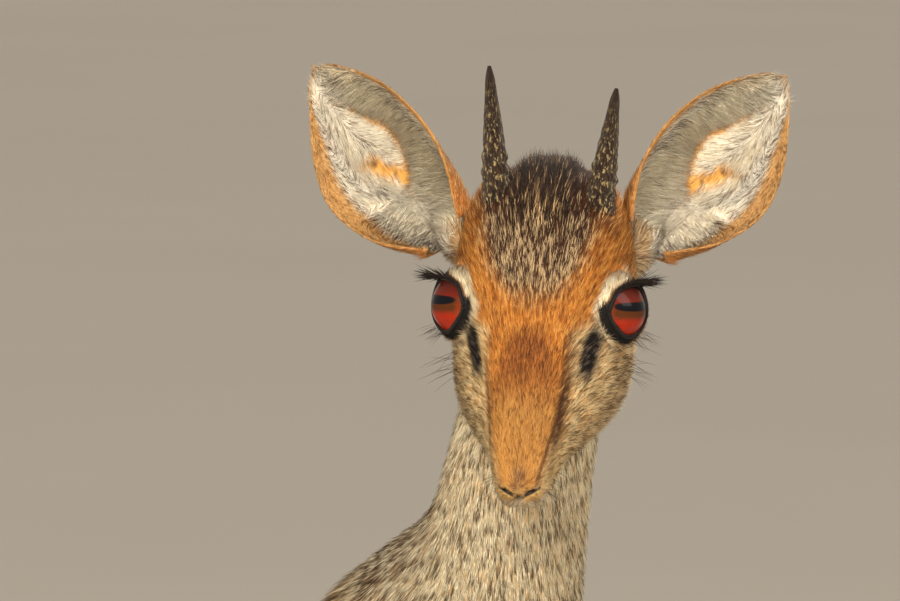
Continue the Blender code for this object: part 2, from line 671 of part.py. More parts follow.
def main():
    for old in list(bpy.data.objects):
        bpy.data.objects.remove(old)
    finish = {name: material(name, colour) for name, colour in COAT.items()}
    root = bpy.data.objects.new("origin", None)
    pose = bpy.data.objects.new("head_pose", None)
    for empty in (root, pose):
        bpy.context.scene.collection.objects.link(empty)
    pose.parent = root
    pose.matrix_local = head_matrix()
    head, head_cutter = make_head(pose, finish["rufous"])
    make_eyes(pose, finish["iris"])
    make_horns(pose, finish["horn"], head)
    torso, neck = make_trunk(root, finish["grizzled"], copy_of(head_cutter))
    ear_cutters = [head_cutter, swollen(neck, 2 * WIDE_SWELL)]
    make_ears(pose, finish["rufous"], ear_cutters)
    for cutter in ear_cutters:
        bpy.data.objects.remove(cutter)
    make_legs(root, torso, finish["tawny"])
    rings = level_surface(TAIL_RINGS, np.linspace(TAIL_RINGS[0][2], TAIL_RINGS[-1][2], 9) * MM, 12)
    tail = loft("tail", rings, root, finish["grizzled"])
    combine(tail, [swollen(torso)], "DIFFERENCE")
    centre_on_floor(root)


main()
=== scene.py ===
"""Looks of the dik-dik: one skin under a coat of modelled tufts, with eyes, horns and hooves.

Metres, +Z up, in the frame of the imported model. Tables of sizes are in millimetres. The head has
its own frame: X to the nose, Y to its left, Z to the crown, origin midway between the eyes.
"""

import math

import bmesh
import bpy
import numpy as np
from mathutils import Matrix, Vector, kdtree


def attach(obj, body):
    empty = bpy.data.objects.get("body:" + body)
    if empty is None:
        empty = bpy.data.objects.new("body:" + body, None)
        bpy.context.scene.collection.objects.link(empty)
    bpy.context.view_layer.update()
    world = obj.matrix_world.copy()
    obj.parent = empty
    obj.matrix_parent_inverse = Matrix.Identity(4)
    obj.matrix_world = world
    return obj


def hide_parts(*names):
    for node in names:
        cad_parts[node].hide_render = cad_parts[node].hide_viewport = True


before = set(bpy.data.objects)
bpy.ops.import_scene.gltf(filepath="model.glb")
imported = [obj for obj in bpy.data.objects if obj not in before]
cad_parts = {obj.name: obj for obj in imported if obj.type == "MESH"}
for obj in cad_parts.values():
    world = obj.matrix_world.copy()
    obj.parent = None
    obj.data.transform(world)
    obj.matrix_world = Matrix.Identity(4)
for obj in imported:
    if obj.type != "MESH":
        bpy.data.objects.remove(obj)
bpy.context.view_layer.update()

MM = 0.001
DRAW = np.random.default_rng(11)

# Where the model's own drawing frame sits in the row's frame, and the head's place and pose.
ROOT = np.array([-21.61, 4.81, 0.0]) * MM
HEAD_AT = np.array([215, -35, 497]) * MM + ROOT
HEAD_YAW = math.radians(-59.5)
HEAD_PITCH = math.radians(46)
HEAD_ROLL = math.radians(-2)
EYE_RADIUS = 12 * MM
EYE_SIDE = 23.2 * MM
CORNEA = 0.9 * MM
# How far each eye opens from its axis: to the nose, to the rear, up and down.
LIDS = {1: np.radians((40, 55, 49, 34)), -1: np.radians((45, 52, 55, 35))}
HORN_ROOT = {"left": (-30, 19, 23), "right": (-30, -15.5, 23)}
HORN_LENGTH = {"left": 35 * MM, "right": 41 * MM}
HORN_RADII = ((-0.18, 5.4), (0, 5.1), (0.25, 4.3), (0.5, 3.3), (0.75, 2.2), (0.93, 1.35), (1, 0.6))
HORN_RISE = math.radians(36)
HORN_SPLAY = math.radians(6)
EAR_ROOT = {"left": (-36, 29.5, -8), "right": (-36, -33.5, -8)}
EAR_TIP = {"left": (-0.34, 0.57, 0.69), "right": (-0.20, 0.72, 0.70)}
EAR_LENGTH = 76 * MM
EAR_ABOVE = ((0, 9), (0.2, 15.4), (0.5, 19), (0.72, 16), (0.9, 8.8), (0.96, 5.4), (1, 1))
EAR_BELOW = ((0, 9), (0.18, 18.6), (0.44, 24), (0.64, 19.8), (0.9, 8.2), (0.96, 4.8), (1, 1))
EAR_BEND = ((0, 128), (0.12, 104), (0.3, 74), (0.6, 56), (1, 24))

# Rings of the trunk: centre x, y, z, rise, turn, half width, reach up and reach down.
TRUNK_RINGS = (
    (-190, 0, 329, 0, 0, 7, 8, 9),
    (-185, 0, 327, 0, 0, 26, 28, 33),
    (-172, 0, 320, 0, 0, 41, 51, 53),
    (-140, 0, 313, 0, 0, 51, 70, 66),
    (-95, 0, 306, 0, 0, 54, 74, 67),
    (-45, 0, 302, 0, 0, 57, 71, 69),
    (5, 0, 300, 0, 0, 60, 75, 76),
    (55, 0, 299, 0, 0, 58, 81, 82),
    (95, 0, 303, 5, 0, 52, 83, 82),
    (128, 0, 318, 24, 0, 46, 80, 79),
    (150, 0, 348, 38, 0, 38, 69, 69),
    (168, -2, 382, 52, -4, 32, 53, 38),
    (178, -5, 412, 62, -12, 28.5, 35.5, 28),
    (184, -7, 440, 70, -25, 26.5, 28, 27),
    (192, -8, 470, 70, -42, 25.5, 26, 26),
    (199, -6, 500, 66, -55, 24, 23, 24),
    (205, -7, 517, 60, -55, 18, 17, 18),
)
TRUNK_SQUARENESS = 2.25
NECK_RING = 10.0
# Level rings down a left leg: centre x, y, height, reach forward, reach back and half thickness.
FORE_RINGS = (
    (119, 27, 362, 5, 5, 4),
    (121, 30, 350, 17, 17, 10),
    (128, 35, 320, 27, 27, 15),
    (136, 39, 288, 31, 32, 19),
    (138, 41, 262, 27, 34, 20),
    (131, 42, 238, 20, 31, 18),
    (123, 42, 218, 15, 19, 14.5),
    (120, 41, 195, 12.5, 13, 11.5),
    (121, 41, 165, 9.8, 9.8, 9.2),
    (122, 40, 137, 8.2, 8.2, 7.8),
    (123, 40, 122, 9.6, 8.6, 9),
    (122, 40, 108, 7.6, 7.6, 7.2),
    (121, 40, 85, 6.1, 6.5, 6),
    (121, 40, 55, 6.1, 6.6, 6),
    (122, 40, 41, 7.8, 8.4, 7.6),
    (127, 40, 27, 6.8, 7, 7),
    (131, 40, 14.5, 9.2, 8.2, 9.4),
)
HIND_RINGS = (
    (-128, 26, 371, 6, 6, 4),
    (-126, 30, 360, 22, 24, 10),
    (-127, 36, 335, 39, 42, 16),
    (-127, 40, 305, 45, 47, 19),
    (-121, 42, 275, 42, 47, 21),
    (-113, 44, 250, 36, 40, 20),
    (-115, 44, 228, 29, 28, 17.5),
    (-127, 44, 205, 22, 19, 14),
    (-145, 43, 180, 15.5, 13, 11),
    (-163, 42, 158, 11.5, 12, 9),
    (-173, 42, 144, 11, 15.5, 9.5),
    (-176, 42, 130, 10.5, 12, 9.5),
    (-174, 42, 115, 8.6, 9, 8.2),
    (-170, 41, 90, 6.8, 6.8, 6.4),
    (-166, 41, 60, 6.6, 6.6, 6.2),
    (-163, 41, 43, 8.2, 8.6, 7.8),
    (-158, 41, 29, 7, 7, 7.2),
    (-153, 41, 14.5, 9.2, 8.2, 9.4),
)
LEGS = (
    ("fore_left", FORE_RINGS, 1, 9 * MM),
    ("fore_right", FORE_RINGS, -1, -8 * MM),
    ("hind_left", HIND_RINGS, 1, -9 * MM),
    ("hind_right", HIND_RINGS, -1, 13 * MM),
)
TAIL_RINGS = (
    (-180, 0, 356, 5, 5, 6),
    (-188, 0, 350, 6, 7, 9),
    (-196, 0, 340, 6.5, 7.5, 11),
    (-202, 0, 326, 6, 7, 10.5),
    (-206, 0, 314, 4, 4.5, 7),
    (-208, 0, 306, 1.2, 1.2, 2),
)
HOOF_OUTLINE = ((-7, 0.6), (-7.6, 4), (-4.6, 7.6), (1, 8.6), (6.5, 7), (10.6, 3.8), (12, 1.4), (11, 0.6))
HOOF_LEVELS = ((0, 1.0, 2.6), (1.2, 1.05, 2.5), (7, 0.98, 0.9), (14.2, 0.92, -1.2))
# Half sections of the head: station x, the crest line's z, then the bridge's edge, the flank, the
# cheek and the jowl, each as its distance from the middle and its z, and the under line's z.
HEAD_RINGS = (
    (69.2, -12.5, 2.0, -12.6, 2.6, -14, 2.6, -15, 2.0, -16.4, -16.5),
    (68.2, -9.5, 4.2, -10.2, 5.6, -13, 5.4, -16, 4.0, -19.0, -19.8),
    (65.5, -6.0, 6.2, -7.4, 7.7, -12.3, 7.7, -16.3, 5.8, -21.0, -22.2),
    (60, -2.2, 8.0, -4.0, 9.4, -10.4, 9.5, -16.2, 7.2, -22.4, -24),
    (50, 2.8, 9.8, 0.8, 11.4, -7, 12.8, -14.5, 10, -23.4, -25.6),
    (38, 7.8, 11.4, 5.4, 13.6, -3.5, 18.4, -16, 15.4, -26.5, -29.5),
    (25, 12.8, 12.8, 10.2, 17.0, -0.5, 24.6, -18, 21, -32, -35.5),
    (12, 18, 15, 15, 21, 2, 28.6, -21, 24.4, -36.5, -40),
    (-2, 23.6, 18, 20, 24.6, 4, 30, -21, 24.4, -39, -42.5),
    (-16, 27, 20, 23, 27.4, 6, 29.4, -18, 21.5, -37, -41),
    (-30, 26.6, 20, 22.4, 27.8, 6, 27.4, -13, 18, -30, -35),
    (-43, 21, 16.8, 17.4, 23.4, 4, 23, -10, 15, -23, -27.5),
    (-52, 11.6, 11, 9.6, 15.4, 2, 15.4, -6.5, 9.6, -14.5, -17),
    (-56.5, 3, 4, 2.5, 5.4, 0.5, 5.4, -2, 3.6, -5, -5.6),
)
MOUTH_CORNER = 35 * MM
MOUTH_FRONT = 62.5 * MM
MOUTH_LEVEL = -20 * MM
NOSTRIL_PATH = ((66.4, 6.1, -10.8), (67.7, 4.5, -10.9), (68.8, 3.2, -11.4), (69.4, 2.0, -12.0))
ORBIT_BULGE = 4.5 * MM

# How deep the coat lies over the skin, in millimetres.
FACE_COAT = 1.1
NECK_COAT = 3.6
TORSO_COAT = 4.6
TAIL_COAT = 3.5
# How far along a tuft, from root to tip, its clump is read.
TIP_SHARE = 0.8


def smooth(rows, at):
    """Cubic through rows of (place, values): each knot's slope is the mean of its two sides'."""
    rows = np.asarray(rows, float)
    place, value = rows[:, 0], rows[:, 1:]
    step = np.diff(place)[:, None]
    side = np.diff(value, axis=0) / step
    inner = (step[1:] * side[:-1] + step[:-1] * side[1:]) / (step[1:] + step[:-1])
    slope = np.vstack([side[:1], inner, side[-1:]])
    at = np.asarray(at, float)
    span = np.clip(np.searchsorted(place, at, "right") - 1, 0, len(place) - 2)
    width = step[span]
    t = ((at - place[span])[:, None]) / width
    return (
        (1 + 2 * t) * (1 - t) ** 2 * value[span]
        + t * (1 - t) ** 2 * width * slope[span]
        + t * t * (3 - 2 * t) * value[span + 1]
        + t * t * (t - 1) * width * slope[span + 1]
    )


def by_index(rows):
    """Rows with their number put in front, to be read by ring number."""
    rows = np.asarray(rows, float)
    return np.column_stack([np.arange(len(rows)), rows])


def rounded(cosine, squareness):
    """A cosine or sine bent so that the ring it draws is a superellipse."""
    return np.sign(cosine) * np.abs(cosine) ** (2 / squareness)


def unit(vectors):
    """Vectors brought to length one."""
    return vectors / np.maximum(np.linalg.norm(vectors, axis=-1, keepdims=True), 1e-9)


def ramp(value, low, high):
    """Eased step: 0 at low, 1 at high."""
    t = np.clip((value - low) / (high - low), 0, 1)
    return t * t * (3 - 2 * t)


def trunk_surface(first, last, along, around, inset=0.0):
    """Rings of the trunk between two ring numbers: upright superellipses that follow its line."""
    numbers = np.linspace(first, last, along)
    row = smooth(by_index(TRUNK_RINGS), numbers)
    row[:, 5:8] = np.maximum(row[:, 5:8] - np.asarray(inset), 2.0)
    centre = row[:, :3] * MM + ROOT
    rise, turn = np.radians(row[:, 3]), np.radians(row[:, 4])
    flat = np.zeros(along)
    side = np.stack([-np.sin(turn), np.cos(turn), flat], 1)
    up = np.stack([-np.sin(rise) * np.cos(turn), -np.sin(rise) * np.sin(turn), np.cos(rise)], 1)
    angle = np.linspace(0, 2 * np.pi, around, endpoint=False)
    across = rounded(np.sin(angle), TRUNK_SQUARENESS)
    height = rounded(np.cos(angle), TRUNK_SQUARENESS)
    across = across * (1 - 0.10 * np.clip(-height, 0, 1) ** 2 - 0.06 * np.clip(height, 0, 1) ** 2)
    reach = np.where(height > 0, row[:, 6:7], row[:, 7:8]) * height * MM
    wide = row[:, 5:6] * across * MM
    return centre[:, None] + wide[..., None] * side[:, None] + reach[..., None] * up[:, None]


def level_surface(rows, heights, around, side=1, lead=0.0, inset=0.0):
    """Level rings of a leg or the tail at given heights; lead sets the foot ahead."""
    rows = np.asarray(rows, float)[::-1]
    row = smooth(np.column_stack([rows[:, 2], rows]), np.asarray(heights) / MM)
    row[:, 3:6] = np.maximum(row[:, 3:6] - np.asarray(inset).reshape(-1, 1), 0.8)
    angle = np.linspace(0, 2 * np.pi, around, endpoint=False)
    ahead, out = rounded(np.cos(angle), 2.1), rounded(np.sin(angle), 2.1)
    x = row[:, 0:1] + np.where(ahead > 0, row[:, 3:4], row[:, 4:5]) * ahead
    x = x + lead / MM * (1 - row[:, 2:3] / rows[-1, 2])
    y = (row[:, 1:2] + row[:, 5:6] * out) * side
    z = np.repeat(row[:, 2:3], around, 1)
    return np.stack([x, y, z], -1) * MM + ROOT


def head_surface(stations, around):
    """Sections of the head at given x: each half is a cubic through its named points, mirrored."""
    rows = np.asarray(HEAD_RINGS, float)[::-1]
    row = smooth(rows, np.asarray(stations) / MM)
    nil = np.zeros(len(row))
    half = [(nil, row[:, 0]), *((row[:, k], row[:, k + 1]) for k in (1, 3, 5, 7)), (nil, row[:, 9])]
    half = np.array([np.stack(p, 1) for p in half])
    flip = np.array([-1, 1])
    knots = np.concatenate([half[1:2] * flip, half, half[-2:-1] * flip])
    place = np.arange(-1.0, len(half) + 1)
    count = around // 2 + 1
    knots = np.column_stack([place, knots.reshape(len(knots), -1)])
    curve = smooth(knots, np.linspace(0, len(half) - 1, count))
    curve = curve.reshape(count, len(row), 2).transpose(1, 0, 2)
    ring = np.concatenate([curve, (curve * flip)[:, -2:0:-1]], 1) * MM
    x = np.repeat(np.asarray(stations, float)[:, None], ring.shape[1], 1)
    return brow(lower_lip(np.dstack([x, ring])))


def lower_lip(points):
    """The lower jaw set back and in under the upper lip, fading out at the corner of the mouth."""
    x, y, z = points[..., 0], points[..., 1], points[..., 2]
    below = np.clip((MOUTH_LEVEL - z) / (1.5 * MM), 0, 1)
    ahead = np.clip((x - MOUTH_CORNER) / (12 * MM), 0, 1) ** 2
    amount = below * ahead
    moved = points.copy()
    moved[..., 0] = x - amount * np.clip(x - 50 * MM, 0, 1) * 0.55
    moved[..., 1] = y * (1 - 0.16 * amount)
    return moved


def brow(points):
    """The orbits' rims: a soft mound on each flank, widest at the eye."""
    x, y, z = (points[..., axis] / MM for axis in range(3))
    mound = np.exp(-(((x - 1) / 17) ** 2) - ((z - 2) / 13) ** 2) * np.clip((np.abs(y) - 9) / 12, 0, 1)
    moved = points.copy()
    moved[..., 1] += np.sign(y) * mound * ORBIT_BULGE
    return moved


def head_turn():
    """The head's pose: turned about +Z, pitched nose down and rolled about its own length."""
    turn = Matrix.Rotation(HEAD_YAW, 3, "Z") @ Matrix.Rotation(HEAD_PITCH, 3, "Y")
    return np.array(turn @ Matrix.Rotation(HEAD_ROLL, 3, "X"))


TURN = head_turn()


def from_head(points):
    """Points of the head's frame, in the row's frame."""
    return np.asarray(points) @ TURN.T + HEAD_AT


def to_head(points):
    """Points of the row's frame, in the head's frame."""
    return (np.asarray(points) - HEAD_AT) @ TURN


def eye_frame(side):
    """The eye's centre, and the unit vectors out of it, along its opening and across it."""
    out = unit(np.array([0.40, side * 0.85, 0.34]))
    along = np.array([1.0, 0, -0.10])
    along = unit(along - out * (along @ out))
    return np.array([0, side * EYE_SIDE, 0]), out, along, np.cross(out, along) * side


def ear_frame(name):
    """The ear's root and its unit vectors: root to tip, towards the head's top, and the way it faces."""
    side = 1 if name == "left" else -1
    level = np.array([math.cos(HEAD_PITCH), 0, math.sin(HEAD_PITCH)])
    up = np.array([-math.sin(HEAD_PITCH), 0, math.cos(HEAD_PITCH)])
    out = np.array([0, side, 0.0])
    tip = unit(np.array(EAR_TIP[name]) @ np.array([level, out, up]))
    face = level + 0.16 * out
    face = unit(face - tip * (face @ tip))
    return np.array(EAR_ROOT[name]) * MM, tip, np.cross(face, tip) * side, face


def ear_leaf(name, t, s, depth):
    """The ear's shell: a leaf rolled about its length into a cup, t from root to tip, s across it."""
    root, tip, upper, face = ear_frame(name)
    above, below = smooth(EAR_ABOVE, t)[:, 0], smooth(EAR_BELOW, t)[:, 0]
    bend = np.radians(smooth(EAR_BEND, t)[:, 0])
    radius = (above + below) / 2 / np.sin(np.minimum(bend, np.pi / 2)) * MM
    angle = s * bend[:, None]
    shift = (above - below)[:, None] / 2 * MM * (0.3 + 0.7 * np.clip(1.2 * t, 0, 1)[:, None])
    reach = radius[:, None] + depth
    across = reach * np.sin(angle) + shift
    out = radius[:, None] - reach * np.cos(angle)
    sweep = smooth([(0, 0), (0.5, -1), (1, -4)], t)[:, 0][:, None] * MM
    return (
        root
        + (t[:, None] * EAR_LENGTH)[..., None] * tip
        + across[..., None] * upper
        + (out + sweep - 6 * MM)[..., None] * face
    )


def ball(centre, radius, out, along, across, rows=9, around=16, bulge=0.0):
    """Rings of a ball about its out axis, with the cornea raised by bulge where it faces out."""
    angle = np.linspace(0.03, math.pi - 0.03, rows)[:, None]
    turn = np.linspace(0, 2 * np.pi, around, endpoint=False)[None]
    reach = radius + bulge * np.clip(1 - (angle / 0.75) ** 2, 0, 1) ** 2 + 0 * turn
    ring = reach * np.sin(angle)
    return (
        centre
        + (reach * np.cos(angle))[..., None] * out
        + (ring * np.cos(turn))[..., None] * along
        + (ring * np.sin(turn))[..., None] * across
    )


def lid_reach(turn, side):
    """Angles from the eye's axis to the rim between its lids: along the opening and across it."""
    front, rear, above, below = LIDS[side]
    long = np.where(np.cos(turn) > 0, front, rear) * np.cos(turn)
    tall = np.where(np.sin(turn) > 0, below, above) * np.sin(turn)
    return long, tall * (1 - lid_pinch(turn) * np.cos(turn) ** 2)


def lid_pinch(turn):
    """How much flatter than an ellipse the opening is: flat over its rear, full over its front."""
    return np.where(np.sin(turn) > 0, 0.1, 0.06 - 0.44 * np.tanh(3 * np.cos(turn)))


def opening_rim(eye, turn, share=1.0):
    """Unit rays from the eye's centre to the rim between its lids, or a share of the way there."""
    centre, out, along, across = eye
    long, tall = share * np.array(lid_reach(turn, 1 if centre[1] > 0 else -1))
    tilt = np.hypot(long, tall)
    return np.cos(tilt)[:, None] * out + (np.sin(tilt) / tilt)[:, None] * (
        long[:, None] * along + tall[:, None] * across
    )


def tube(path, radius, around=10, closed=False):
    """Rings of a round tube along a path; radius may change along it."""
    path = np.asarray(path)
    if closed:
        heading = np.roll(path, -1, 0) - np.roll(path, 1, 0)
    else:
        heading = np.gradient(path, axis=0)
    heading = unit(heading)
    first = unit(np.cross(heading, unit(path.mean(0) + [0, 0, 1.0]) if closed else [0, 0, 1.0]))
    second = np.cross(heading, first)
    turn = np.linspace(0, 2 * np.pi, around, endpoint=False)[None, :, None]
    ring = np.cos(turn) * first[:, None] + np.sin(turn) * second[:, None]
    return path[:, None] + np.reshape(radius, (-1, 1, 1)) * ring


def mouth_path():
    """The line of the mouth: from one corner, round under the nose, to the other."""
    turn = np.linspace(-math.pi / 2, math.pi / 2, 41)
    back = np.clip(1 - np.cos(turn), 0, 1)
    x = MOUTH_FRONT - (MOUTH_FRONT - MOUTH_CORNER) * back**1.2
    wide = smooth([(35, 16.6), (43, 13), (52, 10.8), (59, 9.2), (62.5, 8.6)], x / MM)[:, 0] * MM
    z = MOUTH_LEVEL - 0.6 * MM + 2.4 * MM * back
    return np.stack([x, np.sign(turn) * np.abs(np.sin(turn)) ** 0.8 * wide, z], 1)


def grid_normals(points):
    """Unit normals of a grid of rings that close round, pointing away from each ring's middle."""
    along = np.gradient(points, axis=0)
    around = np.roll(points, -1, 1) - np.roll(points, 1, 1)
    normal = unit(np.cross(around, along))
    away = points - points.mean(1, keepdims=True)
    sign = np.sign((normal * away).sum(-1).mean())
    return normal * (sign if sign else 1)


def new_object(name, mesh):
    """A shown object for a mesh."""
    made = bpy.data.objects.new(name, mesh)
    bpy.context.scene.collection.objects.link(made)
    return made


def solid(name, grids):
    """One object from several grids of closed rings, each capped at both ends."""
    points, quads, ends, offset = [], [], [], 0
    for grid in grids:
        along, around = grid.shape[:2]
        first = np.arange(along - 1)[:, None] * around
        here = np.arange(around)[None]
        after = (here + 1) % around
        ring = np.stack([first + here, first + after, first + around + after, first + around + here], -1)
        quads.append(ring.reshape(-1, 4) + offset)
        ends.append((np.arange(around)[::-1] + offset).tolist())
        ends.append((np.arange(around) + (along - 1) * around + offset).tolist())
        points.append(grid.reshape(-1, 3))
        offset += along * around
    mesh = bpy.data.meshes.new(name)
    mesh.from_pydata(np.concatenate(points).tolist(), [], np.concatenate(quads).tolist() + ends)
    face_out(mesh)
    mesh.shade_smooth()
    return new_object(name, mesh)


def face_out(mesh):
    """Turns every closed shell's faces outwards."""
    shape = bmesh.new()
    shape.from_mesh(mesh)
    bmesh.ops.recalc_face_normals(shape, faces=shape.faces)
    shape.to_mesh(mesh)
    shape.free()


def apply_all(piece):
    """Turns a piece's modifiers into its mesh."""
    bpy.context.view_layer.update()
    mesh = bpy.data.meshes.new_from_object(piece.evaluated_get(bpy.context.evaluated_depsgraph_get()))
    piece.modifiers.clear()
    piece.data = mesh


def combine(piece, others, operation):
    """Joins others to a piece, or cuts them from it, and removes them."""
    for other in others:
        change = piece.modifiers.new(operation.lower(), "BOOLEAN")
        change.operation = operation
        change.object = other
        change.solver = "MANIFOLD"
        apply_all(piece)
        bpy.data.objects.remove(other)


def read_mesh(mesh):
    """A mesh's points, its triangles as point numbers, its edges and its points' normals."""
    mesh.calc_loop_triangles()
    points = np.empty(len(mesh.vertices) * 3, np.float32)
    normals = np.empty_like(points)
    corners = np.empty(len(mesh.loop_triangles) * 3, np.int32)
    edges = np.empty(len(mesh.edges) * 2, np.int32)
    mesh.vertices.foreach_get("co", points)
    mesh.vertex_normals.foreach_get("vector", normals)
    mesh.loop_triangles.foreach_get("vertices", corners)
    mesh.edges.foreach_get("vertices", edges)
    return (
        points.reshape(-1, 3).astype(float),
        corners.reshape(-1, 3),
        edges.reshape(-1, 2),
        normals.reshape(-1, 3).astype(float),
    )


def neighbour_mean(values, edges):
    """The mean of each point's neighbours along the mesh's edges."""
    first, second = edges.T
    count = np.bincount(edges.ravel(), minlength=len(values))[:, None]
    total = [
        np.bincount(first, values[second, k], len(values)) + np.bincount(second, values[first, k], len(values))
        for k in range(values.shape[1])
    ]
    return np.stack(total, 1) / np.maximum(count, 1)


def relaxed(points, edges, rounds, share=1.0):
    """Points eased towards their neighbours' mean and then back, so that little volume is lost."""
    for _ in range(rounds):
        for step in (0.5, -0.52):
            points = points + step * share * (neighbour_mean(points, edges) - points)
    return points


def make_body():
    """Trunk, legs and tail fused into one smooth surface, inside the coat's depth."""
    depth = np.interp(np.linspace(0, 16, 150), [0, 1, 2, 9, 11, 16], [3, 4, TORSO_COAT, TORSO_COAT, NECK_COAT, 3])
    grids = [trunk_surface(0, 16, 150, 72, depth[:, None])]
    for name, rows, side, lead in LEGS:
        heights = np.linspace(rows[0][2], 13.6, 130) * MM
        inset = np.interp(heights / MM, [13, 60, 200, 300], [0.5, 0.9, 2.0, TORSO_COAT])
        grids.append(level_surface(rows, heights, 30, side, lead, inset))
    heights = np.linspace(TAIL_RINGS[0][2], TAIL_RINGS[-1][2], 30) * MM
    grids.append(level_surface(TAIL_RINGS, heights, 24, 1, 0.0, np.full(30, TAIL_COAT)))
    body = solid("skin", grids)
    fused = body.modifiers.new("fused", "REMESH")
    fused.mode = "VOXEL"
    fused.voxel_size = 2.5 * MM
    apply_all(body)
    points, corners, edges, normals = read_mesh(body.data)
    points = relaxed(points, edges, 5)
    body.data.vertices.foreach_set("co", points.astype(np.float32).ravel())
    body.data.update()
    return body


def head_grid(along, around):
    """The head's grid in the row's frame, closer set towards the nose, and its stations."""
    nape, nose = HEAD_RINGS[-1][0] * MM, HEAD_RINGS[0][0] * MM
    turn = np.linspace(0, 1, along)
    stations = nape + (nose - nape) * (0.5 - 0.5 * np.cos(np.pi * turn)) * 0.45 + (nose - nape) * turn * 0.55
    return head_surface(stations, around), stations


def ear_shell(name, along=64, across=34):
    """The ear's inner and outer faces as one ring at each place along it."""
    t = np.sin(np.linspace(0, np.pi / 2, along)) * 0.5 + np.linspace(0, 1, along) * 0.5
    s = np.linspace(-1, 1, across)[None]
    thick = (0.9 + 1.1 * (1 - s**2)) * MM * smooth([(0, 1.3), (0.5, 1), (1, 0.6)], t)
    inner = ear_leaf(name, t, s, 0.25 * MM + 0 * thick)
    outer = ear_leaf(name, t, s[:, ::-1], thick[:, ::-1] - 0.2 * MM)
    return from_head(np.concatenate([inner, outer], 1))


def ear_stalk(name):
    """The ear's short round root, let into the skull."""
    root, tip, upper, face = ear_frame(name)
    place = np.linspace(-13, 8, 24)
    size = smooth([(-13, 6.6), (-5, 7.6), (0, 7.2), (5, 4.6), (8, 1.2)], place)[:, 0] * MM
    turn = np.linspace(0, 2 * np.pi, 32, endpoint=False)[None, :, None]
    middle = root + (place[:, None] * tip - 6.2 * face) * MM
    return from_head(middle[:, None] + size[:, None, None] * (np.cos(turn) * upper + np.sin(turn) * face))


def make_skin():
    """Head, ears, lids and body as one skin, cut by the eyes' openings, nostrils and mouth."""
    skin = make_body()
    grid, stations = head_grid(150, 150)
    depth = np.interp(stations / MM, [-50, -20, 10, 40, 62, 69], [2.0, 1.4, FACE_COAT, 0.8, 0.4, 0.15]) * MM
    grid = grid - grid_normals(grid) * depth[:, None, None]
    added = [solid("head", [from_head(grid)])]
    cuts = []
    for side, name in ((1, "left"), (-1, "right")):
        added.append(solid("ear", [ear_shell(name)]))
        added.append(solid("stalk", [ear_stalk(name)]))
        eye = eye_frame(side)
        added.append(solid("orbit", [from_head(ball(eye[0], EYE_RADIUS + 0.75 * MM, *eye[1:], 60, 80))]))
        turn = np.linspace(0, 2 * np.pi, 90, endpoint=False)
        rim = eye[0] + (EYE_RADIUS + 0.55 * MM) * opening_rim(eye, turn)
        full = 0.85 - 0.5 * np.exp(-(((np.append(turn, 2 * np.pi) / np.pi - 0.56) / 0.36) ** 4))
        ridge = tube(from_head(np.vstack([rim, rim[:1]])), full * MM, 14)
        added.append(solid("ridge", [ridge[:46]]))
        added.append(solid("ridge", [np.roll(ridge[:-1], 45, 0)[:46]]))
        rows = ((2, 0.05), (2, 1), (32, 1), (32, 0.7), (32, 0.4), (32, 0.15), (32, 0.02))
        cone = np.array([eye[0] + far * MM * opening_rim(eye, turn, share) for far, share in rows])
        cuts.append(solid("opening", [from_head(cone)]))
        cuts.append(solid("socket", [from_head(ball(eye[0], EYE_RADIUS + 0.3 * MM, *eye[1:], 50, 70, CORNEA))]))
        slit = smooth(by_index(NOSTRIL_PATH), np.linspace(0, 3, 25)) * [1, side, 1] * MM
        wide = np.sin(np.linspace(0.25, np.pi - 0.5, 25)) * 0.75 * MM
        cuts.append(solid("nostril", [from_head(tube(slit, wide, 12))]))
    cuts.append(solid("mouth", [from_head(tube(mouth_path(), 0.7 * MM, 10))]))
    combine(skin, added, "UNION")
    combine(skin, cuts, "DIFFERENCE")
    skin.data.shade_smooth()
    return skin


def tone(red, green, blue):
    """A colour named by its display values out of 255, as linear light."""
    value = np.array([red, green, blue]) / 255
    return np.where(value <= 0.04045, value / 12.92, ((value + 0.055) / 1.055) ** 2.4)


RUFOUS = tone(208, 128, 46)
HONEY = tone(236, 172, 88)
RUST = tone(106, 52, 22)
CREAM = tone(236, 222, 190)
CHALK = tone(238, 230, 214)
UMBER = tone(66, 45, 34)
SOOT = tone(30, 24, 23)
INK = tone(13, 10, 10)
SLATE = tone(96, 86, 76)
BUFF = tone(206, 176, 130)
TAWNY = tone(186, 138, 84)
ASH = tone(150, 131, 104)

TRAITS = {
    "base": slice(0, 3),
    "pale": slice(3, 6),
    "dusk": slice(6, 9),
    "pale_share": 9,
    "dusk_share": 10,
    "length": 11,
    "width": 12,
    "lift": 13,
    "spread": 14,
    "density": 15,
}


class Look:
    """The coat at each point: three tones and their shares, the tufts' size, lift, spread and number."""

    def __init__(self, count):
        self.rows = np.zeros((count, 16))

    def lay(self, share=1.0, **changes):
        """Moves the named traits towards new values, by a share at each point."""
        share = np.broadcast_to(share, len(self.rows))
        for name, value in changes.items():
            old = self.rows[:, TRAITS[name]]
            amount = share[:, None] if old.ndim == 2 else share
            self.rows[:, TRAITS[name]] = old + amount * (value - old)
        return self


def capsule(points, first, second, reach, edge):
    """Share of a rounded streak between two places: 1 inside reach, fading out over edge."""
    first, second = np.asarray(first, float), np.asarray(second, float)
    line = second - first
    t = np.clip((points - first) @ line / (line @ line), 0, 1)
    away = np.linalg.norm(points - first - t[:, None] * line, axis=1)
    return 1 - ramp(away, reach, reach + edge)


